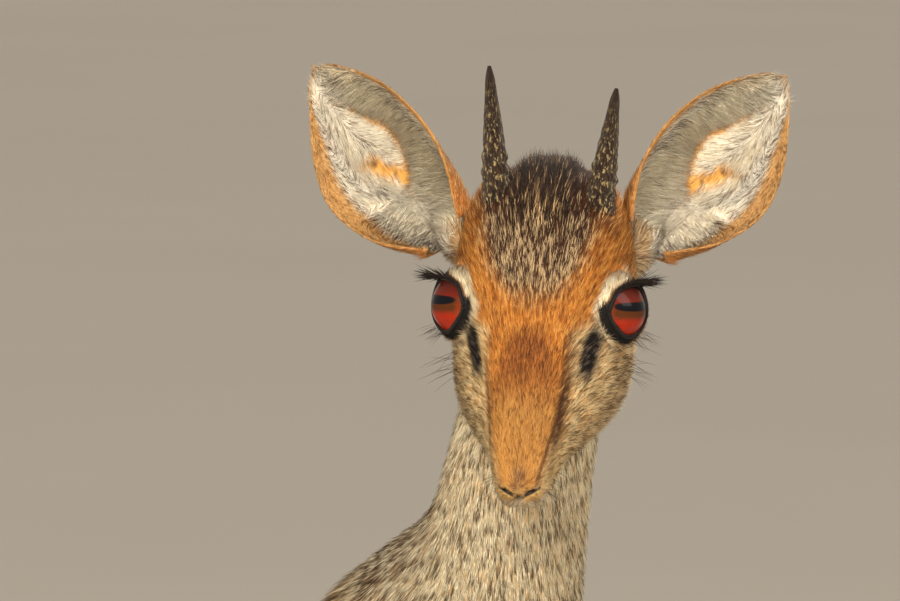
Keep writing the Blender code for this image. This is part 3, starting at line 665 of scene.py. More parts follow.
def eye_distance(points, side):
    """How far points lie beyond the rim between the lids, in millimetres, and where round it."""
    centre, out, along, across = eye_frame(side)
    ray = points * MM - centre
    far = np.linalg.norm(ray, axis=1)
    ray = ray / far[:, None]
    tilt = np.arccos(np.clip(ray @ out, -1, 1))
    down, ahead = ray @ across, ray @ along
    front, rear, above, below = LIDS[side]
    tall = np.where(down > 0, below, above)
    long = np.where(ahead > 0, front, rear)
    turn = np.arctan2(down, ahead)
    for _ in range(3):
        turn = np.arctan2(down / tall / (1 - lid_pinch(turn) * np.cos(turn) ** 2), ahead / long)
    return (tilt - np.hypot(*lid_reach(turn, side))) * far / MM, turn, far / MM


def head_look(points, place):
    """Markings and hair of the head, by place in its own frame, in millimetres."""
    spot = to_head(points) / MM
    x, y, z = spot.T
    wide = np.abs(y)
    look = Look(len(x))
    back = [-56, -45, -12, 8, 28, 50, 62, 69]
    look.lay(base=RUFOUS, pale=HONEY, dusk=RUST, pale_share=0.28, dusk_share=0.28, spread=8, lift=13)
    look.lay(length=np.interp(x, back, [9, 7.6, 4.6, 3.5, 2.8, 2.2, 1.8, 1.6]))
    look.lay(width=np.interp(x, back, [0.8, 0.7, 0.45, 0.37, 0.33, 0.29, 0.26, 0.22]))
    look.lay(density=np.interp(x, back, [1.6, 2.1, 3.8, 4.8, 5.2, 6.2, 7.5, 8]))
    # The muzzle's paler lower bridge, its brown patch, and a dark line of painted shade down its left edge, fainter
    # down its right.
    look.lay(ramp(x, 30, 48), base=tone(184, 126, 58), pale=tone(214, 162, 90), dusk=tone(104, 62, 30))
    look.lay(ramp(x, 44, 56), dusk_share=0.17)
    patch = ramp(x, 17, 25) * (1 - ramp(x, 30, 50)) * (1 - ramp(wide, 3 + (x - 20) * 0.3, 8 + (x - 20) * 0.3))
    look.lay(0.85 * patch, base=tone(132, 70, 30), dusk=tone(76, 40, 20), pale=tone(190, 116, 50))
    edge = np.interp(x, [-60, 6, 20, 35, 48, 60, 70], [42, 25, 12.6, 12.2, 10.8, 7.8, 4.6])
    # Cheeks: cream flecked with brown, painted greyer at the jaw as painted shade, white under it.
    cheek = np.maximum(ramp(wide - edge, -1, 2.5) * ramp(x, 2, 12), ramp(-z, 3, 11) * (1 - ramp(x, 8, 16)))
    look.lay(cheek, base=tone(252, 204, 138), pale=tone(255, 236, 188), dusk=tone(46, 28, 18))
    look.lay(cheek, pale_share=0.38, dusk_share=0.3, lift=20, spread=16)
    look.lay(cheek * (1 - ramp(x, 45, 60)), length=3.2, width=0.37)
    # Painted shade: a dark line along the muzzle's edge, stronger on the left side than on the right.
    thin = np.interp(x, [18, 30, 60], [2.2, 1.1, 0.6])
    line = np.exp(-(((wide - edge) / thin) ** 2)) * ramp(x, 17, 24) * np.where(y > 0, 0.8, 0.25)
    look.lay(line, base=tone(92, 48, 24), dusk=tone(52, 30, 20), dusk_share=0.45, pale_share=0.02)
    # Painted shade: the cheek's lower edge is darkened grey-brown towards the jaw.
    jaw = cheek * ramp(-z, 12, 19) * ramp(x, -30, 0)
    look.lay(0.55 * jaw, base=tone(140, 104, 70), dusk=tone(56, 40, 30), pale=tone(214, 184, 138))
    look.lay(ramp(-z, 24, 30), base=CHALK, pale=CHALK, dusk=tone(196, 170, 130), dusk_share=0.2)
    lip = ramp(x, 60, 64) * ramp(-z, 13.5, 15.5)
    look.lay(lip, base=tone(226, 204, 164), pale=CHALK, dusk=tone(150, 112, 76), dusk_share=0.3)
    look.lay(ramp(x, 66, 68.5), length=1.7, width=0.3, density=12)
    look.lay(ramp(x, 45, 52) * ramp(-z, 8, 12) * (1 - lip), base=tone(230, 190, 124), dusk_share=0.15)
    above = capsule(spot, (64.5, 0, -6.6), (67.6, 0, -9.6), 0.9, 2.6)
    look.lay(0.7 * above, base=tone(118, 82, 62), dusk=tone(76, 52, 42), dusk_share=0.35, pale_share=0.15)
    # The crown: dark, flecked with cream from the forehead up to the tuft.
    half = np.interp(x, [-52, -40, -24, -12, 0, 9, 18], [13, 18, 20, 18.5, 15, 9, 2])
    crown = ramp(half - wide, -4.5, 4.0) * ramp(z, 2, 8) * (1 - ramp(x, 4, 19))
    look.lay(crown, base=tone(84, 46, 28), pale=tone(236, 206, 158), dusk=tone(36, 23, 18))
    look.lay(crown, pale_share=np.interp(x, [-28, -18, -8, 12], [0.04, 0.12, 0.29, 0.3]), dusk_share=0.34)
    look.lay(crown, length=3.2, width=0.33, lift=18, spread=11, density=5.4)
    tuft = crown * (1 - ramp(x, -17, -7)) * (1 - ramp(wide, 7, 12))
    look.lay(tuft, base=tone(72, 48, 34), pale=tone(170, 138, 98), dusk=tone(32, 23, 18))
    look.lay(tuft, length=8, lift=30, width=0.4)
    for side in (1, -1):
        beyond, turn, far = eye_distance(spot, side)
        near = (far < 21) & (y * side > 0)
        above, front = -np.sin(turn), np.cos(turn)
        dorsal = ramp(above, -0.45, 0.25)
        margin = 1.5 + 2.6 * ramp(front, 0.2, 0.8) + 1.0 * ramp(-front, 0.5, 0.95)
        band = np.interp(front, [-1, -0.3, 0.5, 1], [5.0, 4.0, 2.9, 2.0])
        streak = dorsal * ramp(beyond - margin, -0.2, 0.6) * (1 - ramp(beyond - margin - band, -1, 1.2)) * near
        look.lay(streak, base=tone(255, 234, 190), pale=tone(255, 250, 228), dusk=tone(170, 130, 86))
        look.lay(streak, dusk_share=0.12, pale_share=0.5, length=3.0, width=0.32, density=8)
        under = (1 - dorsal) * ramp(beyond - margin, 0, 1.5) * (1 - ramp(beyond, 7, 12)) * near * (1 - ramp(x, 12, 20))
        look.lay(0.7 * under, base=tone(214, 192, 156), pale=tone(240, 226, 196), dusk=tone(104, 84, 66))
        gland = capsule(spot, (18.8, side * 21.2, 4.0), (23.6, side * 20.0, -0.2), 4.0, 2.0)
        grey = capsule(spot, (14.5, side * 22.4, 4.5), (26, side * 19, -1.5), 3.4, 2.6)
        look.lay(0.75 * grey, base=tone(92, 76, 62), pale=tone(196, 174, 140), dusk=tone(40, 30, 26))
        look.lay(0.75 * grey, dusk_share=0.4, length=2.4, width=0.34, density=9)
        look.lay(gland, base=SOOT, pale=tone(122, 106, 92), dusk=INK, pale_share=0.16, dusk_share=0.4)
        black = (1 - ramp(beyond - margin, -0.4, 0.5)) * near
        look.lay(black, base=INK, pale=tone(50, 42, 38), dusk=INK, pale_share=0.06)
        close = (1 - ramp(beyond, 0.5, 4)) * near
        look.lay(close, length=1.7, width=0.28, density=8)
        look.lay((1 - ramp(beyond, 0.6, 2.4)) * near, length=0.85, lift=8)
        look.lay((beyond < 0.45) & near, density=0)
        look.lay((far < 12.7) & near, density=0)
        slit = smooth(by_index(NOSTRIL_PATH), np.linspace(0, 3, 13)) * [1, side, 1]
        away = np.linalg.norm(spot[:, None] - slit[None], axis=2).min(1)
        look.lay(1 - ramp(away, 0.7, 1.3), base=SOOT, pale=SOOT, dusk=SOOT, length=0.8)
        look.lay(away < 0.95, density=0)
        name = "left" if side > 0 else "right"
        root = np.array(HORN_ROOT[name])
        lean = unit(np.array([-math.cos(HORN_RISE), side * math.sin(HORN_SPLAY), math.sin(HORN_RISE)]))
        off = spot - root
        beside = np.linalg.norm(off - (off @ lean)[:, None] * lean, axis=1)
        look.lay(beside < 4.9, density=0)
        look.lay((1 - ramp(beside, 5, 8)) * (z > 0), lift=32, base=tone(104, 62, 38), length=5)
        ear = np.linalg.norm(spot - np.array(EAR_ROOT[name]) - np.array([6, 0, 0]), axis=1)
        look.lay(0.8 * (1 - ramp(ear, 9, 14)), base=tone(200, 150, 94), pale=BUFF, dusk=tone(84, 58, 40))
        dark = capsule(spot, (-34, side * 39, -12), (-27, side * 33, -9), 2.6, 4.5)
        look.lay(0.85 * dark, base=tone(104, 76, 54), pale=tone(150, 118, 82), dusk=tone(48, 36, 28))
        look.lay(0.85 * dark, dusk_share=0.4)
    groove = capsule(spot, (69.2, 0, -12.4), (69.6, 0, -15.2), 0.35, 0.7)
    look.lay(groove, base=SOOT, pale=SOOT, dusk=SOOT, length=0.7)
    return look.rows


def trunk_look(points, place):
    """Markings and hair of the torso and neck, by place round and along the trunk."""
    ring = place[:, 1] * 16
    high = np.cos(2 * np.pi * place[:, 0])
    neck = ramp(ring, 9.2, 11.0)
    look = Look(len(ring))
    look.lay(base=tone(196, 140, 80), pale=tone(226, 182, 122), dusk=tone(120, 78, 46), pale_share=0.3)
    look.lay(dusk_share=0.24, length=11, width=0.95, lift=11, spread=9, density=1.0)
    back = ramp(high, -0.35, 0.45)
    look.lay(back, base=tone(160, 124, 86), pale=tone(232, 204, 158), dusk=tone(58, 42, 30))
    look.lay(back, pale_share=0.34, dusk_share=0.34)
    belly = ramp(-high, 0.62, 0.92) * ramp(ring, 1.0, 3.0)
    look.lay(belly, base=CHALK, pale=CHALK, dusk=tone(212, 186, 144), dusk_share=0.2, pale_share=0.4)
    look.lay(neck, base=tone(250, 222, 178), pale=tone(255, 248, 222), dusk=tone(38, 24, 17))
    look.lay(neck, pale_share=0.46, dusk_share=0.26, length=4.6, width=0.6, lift=13, spread=7, density=2.6)
    nape = neck * ramp(high, 0.2, 0.9)
    look.lay(nape, base=tone(164, 126, 88), pale_share=0.32, dusk_share=0.36)
    return look.rows


def leg_look(points, place):
    """Markings and hair of a leg, by its height and by which side of it faces out."""
    z = points[:, 2] / MM
    out = np.sin(2 * np.pi * place[:, 0])
    look = Look(len(z))
    look.lay(base=TAWNY, pale=tone(214, 174, 118), dusk=tone(122, 82, 48), pale_share=0.28, dusk_share=0.22)
    heights = [14, 40, 120, 200, 260, 340]
    look.lay(length=np.interp(z, heights, [2.6, 4, 5, 7.5, 11, 15]), lift=11, spread=8)
    look.lay(width=np.interp(z, heights, [0.5, 0.62, 0.75, 1.0, 1.25, 1.5]))
    look.lay(density=np.interp(z, heights, [3.2, 2.2, 1.7, 1.0, 0.6, 0.4]))
    look.lay(ramp(-out, 0.1, 0.8) * ramp(z, 40, 120), base=tone(226, 206, 168), pale=CHALK, dusk_share=0.12)
    look.lay(1 - ramp(z, 60, 170), base=tone(170, 126, 80), dusk_share=0.3)
    look.lay(1 - ramp(z, 14, 26), base=tone(98, 72, 50), dusk=UMBER, dusk_share=0.45, lift=18)
    return look.rows


def tail_look(points, place):
    """The tail: grizzled above, white under."""
    behind = -np.cos(2 * np.pi * place[:, 0])
    look = Look(len(points))
    look.lay(base=tone(128, 104, 78), pale=tone(206, 186, 150), dusk=tone(62, 48, 38), pale_share=0.3)
    look.lay(dusk_share=0.3, length=11, width=0.9, lift=16, spread=12, density=1.4)
    look.lay(ramp(-behind, 0.0, 0.6), base=CHALK, pale=CHALK, dusk_share=0.08)
    return look.rows


def ear_lines(t):
    """Across the ear at each place along it: two bare strips, and the partings of its long hair."""
    first = np.interp(t, [0.1, 0.31, 0.39, 0.47, 0.58, 0.71, 0.86], [-0.05, 0.03, 0.2, 0.29, 0.32, 0.15, -0.09])
    second = np.interp(t, [0.29, 0.38, 0.47, 0.58], [0.08, 0.0, -0.13, -0.28])
    spine = np.interp(t, [0.3, 0.35, 0.47, 0.66, 0.9], [0.12, 0.09, -0.01, -0.17, -0.38])
    outer = np.interp(t, [0.3, 0.4, 0.57, 0.66, 0.9], [-0.26, -0.4, -0.5, -0.52, -0.6])
    return first, second, spine, outer


def inside_look(points, place):
    """Inside the ear: combed long white hairs, bare orange strips between, grey partings, a tan rim."""
    s, t = place[:, 0] * 2 - 1, place[:, 1]
    first, second, spine, outer = ear_lines(t)
    look = Look(len(s))
    look.lay(base=tone(246, 228, 192), pale=tone(255, 250, 236), dusk=tone(132, 112, 96), pale_share=0.6)
    look.lay(dusk_share=0.05, length=7.6, width=0.36, lift=11, spread=8, density=7)
    # Painted light: the rolled band past the first bare strip is painted paler, to lift it out of the shade it falls in
    # as it curls away from the lamps.
    rolled = ramp(s - first, 0.1, 0.35)
    look.lay(rolled, base=tone(255, 240, 204), pale=tone(255, 248, 226), lift=16)
    part = np.exp(-(((s - spine) / 0.05) ** 2)) * ramp(t, 0.34, 0.42)
    part = np.maximum(part, np.exp(-(((s - outer) / 0.09) ** 2)) * ramp(t, 0.3, 0.4) * (1 - ramp(t, 0.7, 0.9)))
    look.lay(part, base=tone(150, 130, 112), dusk=tone(78, 62, 52), dusk_share=0.3, length=4.5)
    high = ramp(t, 0.7, 0.86) * (1 - ramp(np.abs(s), 0.5, 0.75))
    look.lay(0.7 * high, base=tone(190, 172, 146), dusk=tone(84, 70, 60), dusk_share=0.3, length=4.5)
    for line, low, top in ((first, 0.26, 0.84), (second, 0.28, 0.58)):
        span = ramp(t, low, low + 0.06) * (1 - ramp(t, top - 0.05, top + 0.03))
        near = 1 - ramp(np.abs(s - line), 0.1, 0.34)
        look.lay(near * span, length=3.6)
        bare = (1 - ramp(np.abs(s - line), 0.07, 0.13)) * span
        look.lay(bare, base=tone(226, 156, 66), pale=tone(240, 186, 100), dusk=tone(160, 98, 40), density=0.5)
    for along, across in ((0.79, 0.04), (0.7, 0.16), (0.66, 0.2), (0.5, -0.17), (0.4, -0.02), (0.34, 0.06)):
        far = np.hypot((t - along) * 76, (s - across) * 21)
        look.lay(1 - ramp(far, 0.5, 1.1), base=tone(64, 34, 22), pale=tone(64, 34, 22), density=0)
    fringe = ramp(s, 0.76, 0.86) * (1 - ramp(s, 0.88, 0.96))
    look.lay(0.75 * fringe, base=tone(150, 130, 110), dusk=tone(50, 40, 36), dusk_share=0.5, length=4.2)
    look.lay(ramp(s, 0.9, 0.97), base=tone(206, 148, 80), pale=HONEY, dusk=tone(90, 56, 34), length=1.9)
    edge = np.interp(t, [0, 0.2, 0.7, 0.9], [0.55, 0.64, 0.62, 0.8])
    look.lay(ramp(-s - edge, -0.12, 0.0), base=tone(176, 150, 120), dusk=tone(60, 48, 42), dusk_share=0.3)
    look.lay(ramp(-s - edge, -0.3, -0.05), length=3.2)
    canal = 1 - ramp(np.hypot((t - 0.09) / 0.09, (s + 0.12) / 0.16), 0.7, 1.1)
    look.lay((1 - ramp(t, 0.06, 0.16)) * ramp(-s, 0.25, 0.45), base=tone(120, 92, 66), dusk_share=0.35)
    look.lay(canal, base=tone(112, 84, 48), pale=tone(150, 118, 74), dusk=tone(52, 38, 26), density=1.5, length=3)
    tan = np.maximum(ramp(-s - edge, 0.0, 0.1), ramp(t, 0.93, 0.97))
    look.lay(tan, base=tone(214, 158, 92), pale=tone(232, 190, 130), dusk=tone(112, 74, 44), dusk_share=0.2)
    look.lay(np.maximum(tan, ramp(s, 0.9, 0.97)), length=2.0, width=0.3, lift=12, density=7, pale_share=0.3)
    return look.rows


def outside_look(points, place):
    """The back of the ear: short tan-orange hair, stippled dark."""
    s, t = place[:, 0] * 2 - 1, place[:, 1]
    look = Look(len(s))
    look.lay(base=tone(200, 150, 92), pale=tone(226, 184, 124), dusk=tone(104, 70, 46), pale_share=0.25)
    look.lay(dusk_share=0.24, length=2.8, width=0.34, lift=11, spread=9, density=4.5)
    look.lay(1 - ramp(t, 0.05, 0.4), base=tone(200, 124, 54), length=4)
    look.lay(ramp(np.abs(s), 0.8, 0.95), length=1.8, lift=8)
    return look.rows


class Region:
    """A stretch of skin laid out as one grid: its points, which way hair lies there, and its look."""

    def __init__(self, name, grid, lie, look, blend, closed=True):
        along, around = grid.shape[:2]
        across = np.arange(around) / around if closed else np.linspace(0, 1, around)
        self.name = name
        self.points = grid.reshape(-1, 3)
        self.lie = unit(lie.reshape(-1, 3))
        self.place = np.stack(np.meshgrid(across, np.linspace(0, 1, along)), -1).reshape(-1, 2)
        self.look = look
        self.blend = blend * MM

    def nearest(self, points):
        """For each point, the number of the grid's nearest point and how far it is."""
        tree = kdtree.KDTree(len(self.points))
        for number, point in enumerate(self.points.tolist()):
            tree.insert(point, number)
        tree.balance()
        found = np.array([tree.find(point)[1:] for point in points.tolist()])
        return found[:, 0].astype(int), found[:, 1]


def ear_regions(name):
    """The inner and outer faces of one ear, with the way their hair lies."""
    t = np.linspace(0, 1, 70)
    s = np.linspace(-1, 1, 46)
    thick = (0.9 + 1.1 * (1 - s[None] ** 2)) * MM * smooth([(0, 1.3), (0.5, 1), (1, 0.6)], t)
    regions = []
    for face, depth, look in (("inside", 0 * thick, inside_look), ("outside", thick, outside_look)):
        grid = from_head(ear_leaf(name, t, s[None], depth))
        up, over = unit(np.gradient(grid, axis=0)), unit(np.gradient(grid, axis=1))
        if face == "inside":
            ts, ss = np.meshgrid(t, s, indexing="ij")
            first, second, spine, outer = ear_lines(ts)
            along, across = -0.95 + 0 * ts, -0.1 + 0.45 * (1 - ramp(ts, 0.4, 0.55)) * ramp(-ss, 0.1, 0.3)
            steps = (
                (ramp(ss - spine, -0.03, 0.03), -0.7, 0.75),
                (ramp(ss - first, -0.05, 0.05), 0.1 + 0.6 * ramp(0.5 - ts, 0, 0.2), -1.0),
                (ramp(outer - ss, -0.04, 0.04) * ramp(ts, 0.28, 0.4), 0.85, -0.4),
                (ramp(-0.2 - ss, 0, 0.1) * (1 - ramp(ts, 0.26, 0.36)), 0.1, 1.0),
                (ramp(ts, 0.86, 0.95), 1.0, 0.0),
                (ramp(np.abs(ss), 0.78, 0.9), 1.0, 0.0),
            )
            for share, ahead, aside in steps:
                along, across = along + share * (ahead - along), across + share * (aside - across)
            lie = along[..., None] * up + across[..., None] * over
        else:
            lie = up
        regions.append(Region(f"{name}_{face}", grid, lie, look, 0.25, closed=False))
    return regions


def make_regions():
    """Every stretch of skin with its own lie of hair."""
    grid = trunk_surface(0, 16, 220, 96)
    lie = -unit(np.gradient(grid, axis=0)) + [0, 0, -0.35]
    regions = [Region("trunk", grid, lie, trunk_look, 5)]
    local, stations = head_grid(140, 120)
    y, z = local[..., 1], local[..., 2]
    fan = ramp(-z / MM, 2, 16)
    tip = ramp(local[..., 0] / MM, 66.5, 69) * ramp(-z / MM, 11.5, 13)
    lie = np.stack([tip - 1, (0.5 * fan + 0.4 * tip) * np.sign(y), -0.55 * fan - tip], -1)
    regions.append(Region("head", from_head(local), lie @ TURN.T, head_look, 3))
    for name, rows, side, lead in LEGS:
        grid = level_surface(rows, np.linspace(rows[0][2], 13.6, 150) * MM, 36, side, lead)
        regions.append(Region(name, grid, np.zeros_like(grid) + [0, 0, -1], leg_look, 6))
    grid = level_surface(TAIL_RINGS, np.linspace(TAIL_RINGS[0][2], TAIL_RINGS[-1][2], 40) * MM, 24)
    regions.append(Region("tail", grid, np.zeros_like(grid) + [-0.25, 0, -1], tail_look, 3))
    return regions + ear_regions("left") + ear_regions("right")


def region_traits(points, regions):
    """For each point: its coat traits and lie of hair, blended where regions meet, and its own region and place."""
    found = [region.nearest(points) for region in regions]
    away = np.stack([distance for _, distance in found], 1)
    own = away.argmin(1)
    blend = np.array([region.blend for region in regions])
    reach = np.minimum(blend[None], blend[own][:, None])
    weight = np.exp(-(((away - away.min(1, keepdims=True)) / reach) ** 2))
    weight[weight < 0.02] = 0
    weight = weight / weight.sum(1, keepdims=True)
    rows = np.zeros((len(points), 16))
    lie = np.zeros((len(points), 3))
    place = np.zeros((len(points), 2))
    for number, (region, (sample, _)) in enumerate(zip(regions, found)):
        used = weight[:, number] > 0
        share = weight[used, number][:, None]
        rows[used] += share * region.look(points[used], region.place[sample[used]])
        lie[used] += share * region.lie[sample[used]]
        mine = own == number
        place[mine] = region.place[sample[mine]]
    return rows, lie, own, place


def spread_roots(corners, area, density, amount):
    """How many tufts each triangle grows, in step with its area in square millimetres, and where in it."""
    wanted = area * density[corners].mean(1) * amount
    wanted = np.where(density[corners].min(1) <= 0, 0, wanted)
    number = np.floor(wanted + DRAW.random(len(wanted))).astype(int)
    face = np.repeat(np.arange(len(wanted)), number)
    first, second = DRAW.random((2, len(face)))
    over = first + second > 1
    first, second = np.where(over, 1 - first, first), np.where(over, 1 - second, second)
    return face, np.stack([1 - first - second, first, second], 1)


def blades(root, lie, out, length, width, thick, droop, roll, rings):
    """Three-sided tapering blades: each lies along lie, droops towards the skin and ends in a point.

    The middle line leaves the root along lie and falls below it by droop times its length, with
    the square of the way along. Gives points, triangles, and the way along and across of each point.
    """
    count = len(root)
    side = unit(np.cross(lie, out))
    upward = np.cross(side, lie)
    turned = np.cos(roll)[:, None] * side + np.sin(roll)[:, None] * upward
    upward = np.cross(turned, lie)
    place = np.linspace(0, 1, rings + 1)
    taper = np.sqrt(1 - place[:-1] ** 2) * (0.7 + 0.3 * (place[:-1] > 0))
    levels = []
    for s, wide in zip(place[:-1], taper):
        middle = root + (s * length)[:, None] * lie - (s * s * droop * length)[:, None] * out
        reach = (wide * width / 2)[:, None] * turned
        levels += [middle - reach, middle + reach, middle + (wide * thick)[:, None] * upward]
    levels.append(root + length[:, None] * lie - (droop * length)[:, None] * out)
    points = np.stack(levels, 1)
    per = points.shape[1]
    faces = []
    for level in range(rings - 1):
        a, b, c = np.arange(3) + 3 * level
        for low, high in ((a, c), (c, b), (b, a)):
            faces += [(low, high, high + 3), (low, high + 3, low + 3)]
    a, b, c = np.arange(3) + 3 * (rings - 1)
    faces += [(a, c, per - 1), (c, b, per - 1), (b, a, per - 1)]
    triangles = np.array(faces)[None] + per * np.arange(count)[:, None, None]
    along = np.append(np.repeat(place[:-1], 3), 1.0)
    across = np.append(np.tile([-0.5, 0.5, 0.0], rings), 0.0)
    return points.reshape(-1, 3), triangles.reshape(-1, 3), along, across


def coat_mesh(name, points, triangles, colours, unwrap):
    """A mesh of tufts with its own colours and its bake map."""
    mesh = bpy.data.meshes.new(name)
    mesh.vertices.add(len(points))
    mesh.vertices.foreach_set("co", points.astype(np.float32).ravel())
    mesh.loops.add(triangles.size)
    mesh.loops.foreach_set("vertex_index", triangles.astype(np.int32).ravel())
    mesh.polygons.add(len(triangles))
    mesh.polygons.foreach_set("loop_start", np.arange(0, triangles.size, 3, dtype=np.int32))
    mesh.update(calc_edges=True)
    mesh.shade_smooth()
    paint_points(mesh, colours)
    bake = mesh.uv_layers.new(name="OFBake")
    bake.data.foreach_set("uv", unwrap[triangles.ravel()].astype(np.float32).ravel())
    return new_object(name, mesh)


def paint_points(mesh, colours):
    """Stores a colour at every point, for the material to read."""
    tint = mesh.color_attributes.new("tint", "FLOAT_COLOR", "POINT")
    full = np.ones((len(colours), 4), np.float32)
    full[:, :3] = colours
    tint.data.foreach_set("color", full.ravel())


class Skin:
    """The skin's points and triangles, with the coat's traits at each point."""

    def __init__(self, piece, regions):
        self.points, self.corners, self.edges, _ = read_mesh(piece.data)
        self.ease_joins(regions)
        piece.data.vertices.foreach_set("co", self.points.astype(np.float32).ravel())
        piece.data.update()
        _, self.corners, _, self.normals = read_mesh(piece.data)
        self.rows, self.lie, self.own, self.place = region_traits(self.points, regions)
        first, second, third = (self.points[self.corners[:, k]] for k in range(3))
        self.area = np.linalg.norm(np.cross(second - first, third - first), axis=1) / 2 / MM**2
        place = self.place[self.corners]
        mixed = (np.ptp(place, axis=1) > 0.08).any(1) | (np.ptp(self.own[self.corners], axis=1) > 0)
        self.face_place = np.where(mixed[:, None, None], place[:, :1], place)

    def ease_joins(self, regions):
        """Softens the crease where the neck meets the head, and where each ear does."""
        head = next(region for region in regions if region.name == "head")
        trunk = next(region for region in regions if region.name == "trunk")
        near_head = self.distance(head)
        share = np.exp(-((np.maximum(near_head, self.distance(trunk)) / (7 * MM)) ** 2))
        spot = to_head(self.points) / MM
        for name in ("left", "right"):
            root, tip, upper, face = ear_frame(name)
            off = spot - root / MM
            ring = np.exp(-(((off @ tip - 4) / 8) ** 2)) * (np.linalg.norm(off, axis=1) < 26)
            share = np.maximum(share, 0.8 * ring * np.exp(-((near_head / (4 * MM)) ** 2)))
        share = share * (spot[:, 0] < -12)
        self.points = relaxed(self.points, self.edges, 12, share[:, None])

    def distance(self, region):
        """How far each point is from a region's grid, in metres."""
        return region.nearest(self.points)[1]

    def colour(self):
        """The mean tone of the coat over each point, darkened as painted shade for the skin seen between the tufts."""
        pale, dusk = self.rows[:, 9:10], self.rows[:, 10:11]
        mixed = self.rows[:, 0:3] * (1 - pale - dusk) + self.rows[:, 3:6] * pale + self.rows[:, 6:9] * dusk
        # Painted shade: where hair grows, the skin is darkened as the coat's shadow between the tufts.
        return mixed * np.where(self.rows[:, 15:16] > 0.01, 0.72, 1.0)


def clump_draw(points, size, share=0.92):
    """Random numbers from 0 to 1, most of them the same for all points in one small cell."""
    cell = np.floor(points / MM / np.array(size) + DRAW.normal(0, 0.13, points.shape)).astype(np.int64)
    mixed = (cell[:, 0] * 73856093) ^ (cell[:, 1] * 19349663) ^ (cell[:, 2] * 83492791)
    mixed = ((mixed ^ (mixed >> 13)) * 1274126177) & 0xFFFFFF
    own = DRAW.random((2, len(points)))
    return np.where(own[0] < share, (mixed ^ (mixed >> 9)) % 65536 / 65536, own[1])


def grow_coat(name, skin, chosen, strips, rings, amount, longer, clump):
    """Tufts on the chosen triangles, split into pieces small enough, as objects.

    strips gives each region's share of the bake map, as (start, width) across it. Tufts whose
    tips share a clump, a cell with sides of so many millimetres, mostly share a tone, and the pale
    and the dark ones stand over the rest; the head's cells lie along its own frame.
    """
    where = np.flatnonzero(chosen)
    face, inside = spread_roots(skin.corners[where], skin.area[where], skin.rows[:, 15], amount)
    face = where[face]
    corner = skin.corners[face]
    root, out, lie, row = (
        (array[corner] * inside[:, :, None]).sum(1) for array in (skin.points, skin.normals, skin.lie, skin.rows)
    )
    place = (skin.face_place[face] * inside[:, :, None]).sum(1)
    count = len(root)
    out = unit(out)
    lie = unit(lie - (lie * out).sum(1, keepdims=True) * out)
    side = np.cross(out, lie)
    swing = np.radians(row[:, 14]) * DRAW.normal(0, 1, count)
    lie = np.cos(swing)[:, None] * lie + np.sin(swing)[:, None] * side
    length = row[:, 11] * MM * DRAW.uniform(0.62, 1.25, count) * longer
    tip = root + TIP_SHARE * length[:, None] * lie
    draw = clump_draw(to_head(tip) if name in ("coat_head", "coat_crest") else tip, clump)
    marked = draw < row[:, 9] + row[:, 10]
    lift = np.radians(row[:, 13] * DRAW.uniform(0.55, 1.5, count)) * np.where(marked, 1.2, 0.8)
    heading = np.cos(lift)[:, None] * lie + np.sin(lift)[:, None] * out
    width = row[:, 12] * MM * DRAW.uniform(0.65, 1.25, count)
    droop = np.sin(lift) * 0.55 if rings > 1 else 0 * lift
    roll = DRAW.normal(0, 0.35, count)
    sink = np.clip(0.035 * length, 0.05 * MM, 0.25 * MM)[:, None]
    points, triangles, along, across = blades(
        root - sink * out, heading, out, length, width, 0.3 * width, droop, roll, rings
    )
    draw, pale, dusk = draw[:, None], row[:, 9:10], row[:, 10:11]
    picked = np.where(draw < pale, row[:, 3:6], np.where(draw < pale + dusk, row[:, 6:9], row[:, 0:3]))
    picked = picked * DRAW.uniform(0.82, 1.18, count)[:, None]
    # Each tuft runs from its base tone at the root to its drawn tone at the tip. The last factor is painted shade
    # darkening the root and a painted highlight brightening the tip.
    reached = np.minimum(0.45 + along, 1)[None, :, None]
    mixed = row[:, None, 0:3] * (1 - reached) + picked[:, None] * reached
    colours = (mixed * (0.55 + 0.55 * reached)).reshape(-1, 3)
    strip = np.array([strips.get(number, (0, 1)) for number in range(12)], float)[skin.own[corner[:, 0]]]
    start, wide = strip.T
    centre = np.stack([start + wide * (0.02 + 0.96 * (place[:, 0] % 1)), 0.01 + 0.98 * place[:, 1]], 1)
    patch = np.stack([0.003 * across, 0.003 * (along - 0.5)], -1)[None]
    unwrap = (centre[:, None] + patch).reshape(-1, 2)
    per_point, per_face = len(along), len(triangles) // max(count, 1)
    pieces = max(1, math.ceil(len(triangles) / 190000))
    order = np.array_split(np.arange(count), pieces)
    made = []
    for number, part in enumerate(order):
        low, high = part[0], part[-1] + 1
        label = name if pieces == 1 else f"{name}_{number + 1}"
        made.append(
            coat_mesh(
                label,
                points[low * per_point : high * per_point],
                triangles[low * per_face : high * per_face] - low * per_point,
                colours[low * per_point : high * per_point],
                unwrap[low * per_point : high * per_point],
            )
        )
    return made


class Value:
    """A number from a node's socket, so that sums are written as plain arithmetic."""

    def __init__(self, paint, socket):
        self.paint, self.socket = paint, socket

    def maths(self, operation, first, second=0.0):
        return self.paint.node("ShaderNodeMath", {"operation": operation}, [first, second])

    def __add__(self, other):
        return self.maths("ADD", self, other)

    def __mul__(self, other):
        return self.maths("MULTIPLY", self, other)

    def __sub__(self, other):
        return self.maths("SUBTRACT", self, other)

    def __rsub__(self, other):
        return self.maths("SUBTRACT", other, self)

    def __truediv__(self, other):
        return self.maths("DIVIDE", self, other)

    def __pow__(self, other):
        return self.maths("POWER", self, other)

    __radd__, __rmul__ = __add__, __mul__

    def step(self, low, high):
        """Eased from 0 at low to 1 at high."""
        settings = {"interpolation_type": "SMOOTHSTEP"}
        return self.paint.node("ShaderNodeMapRange", settings, [self, low, high, 0.0, 1.0])


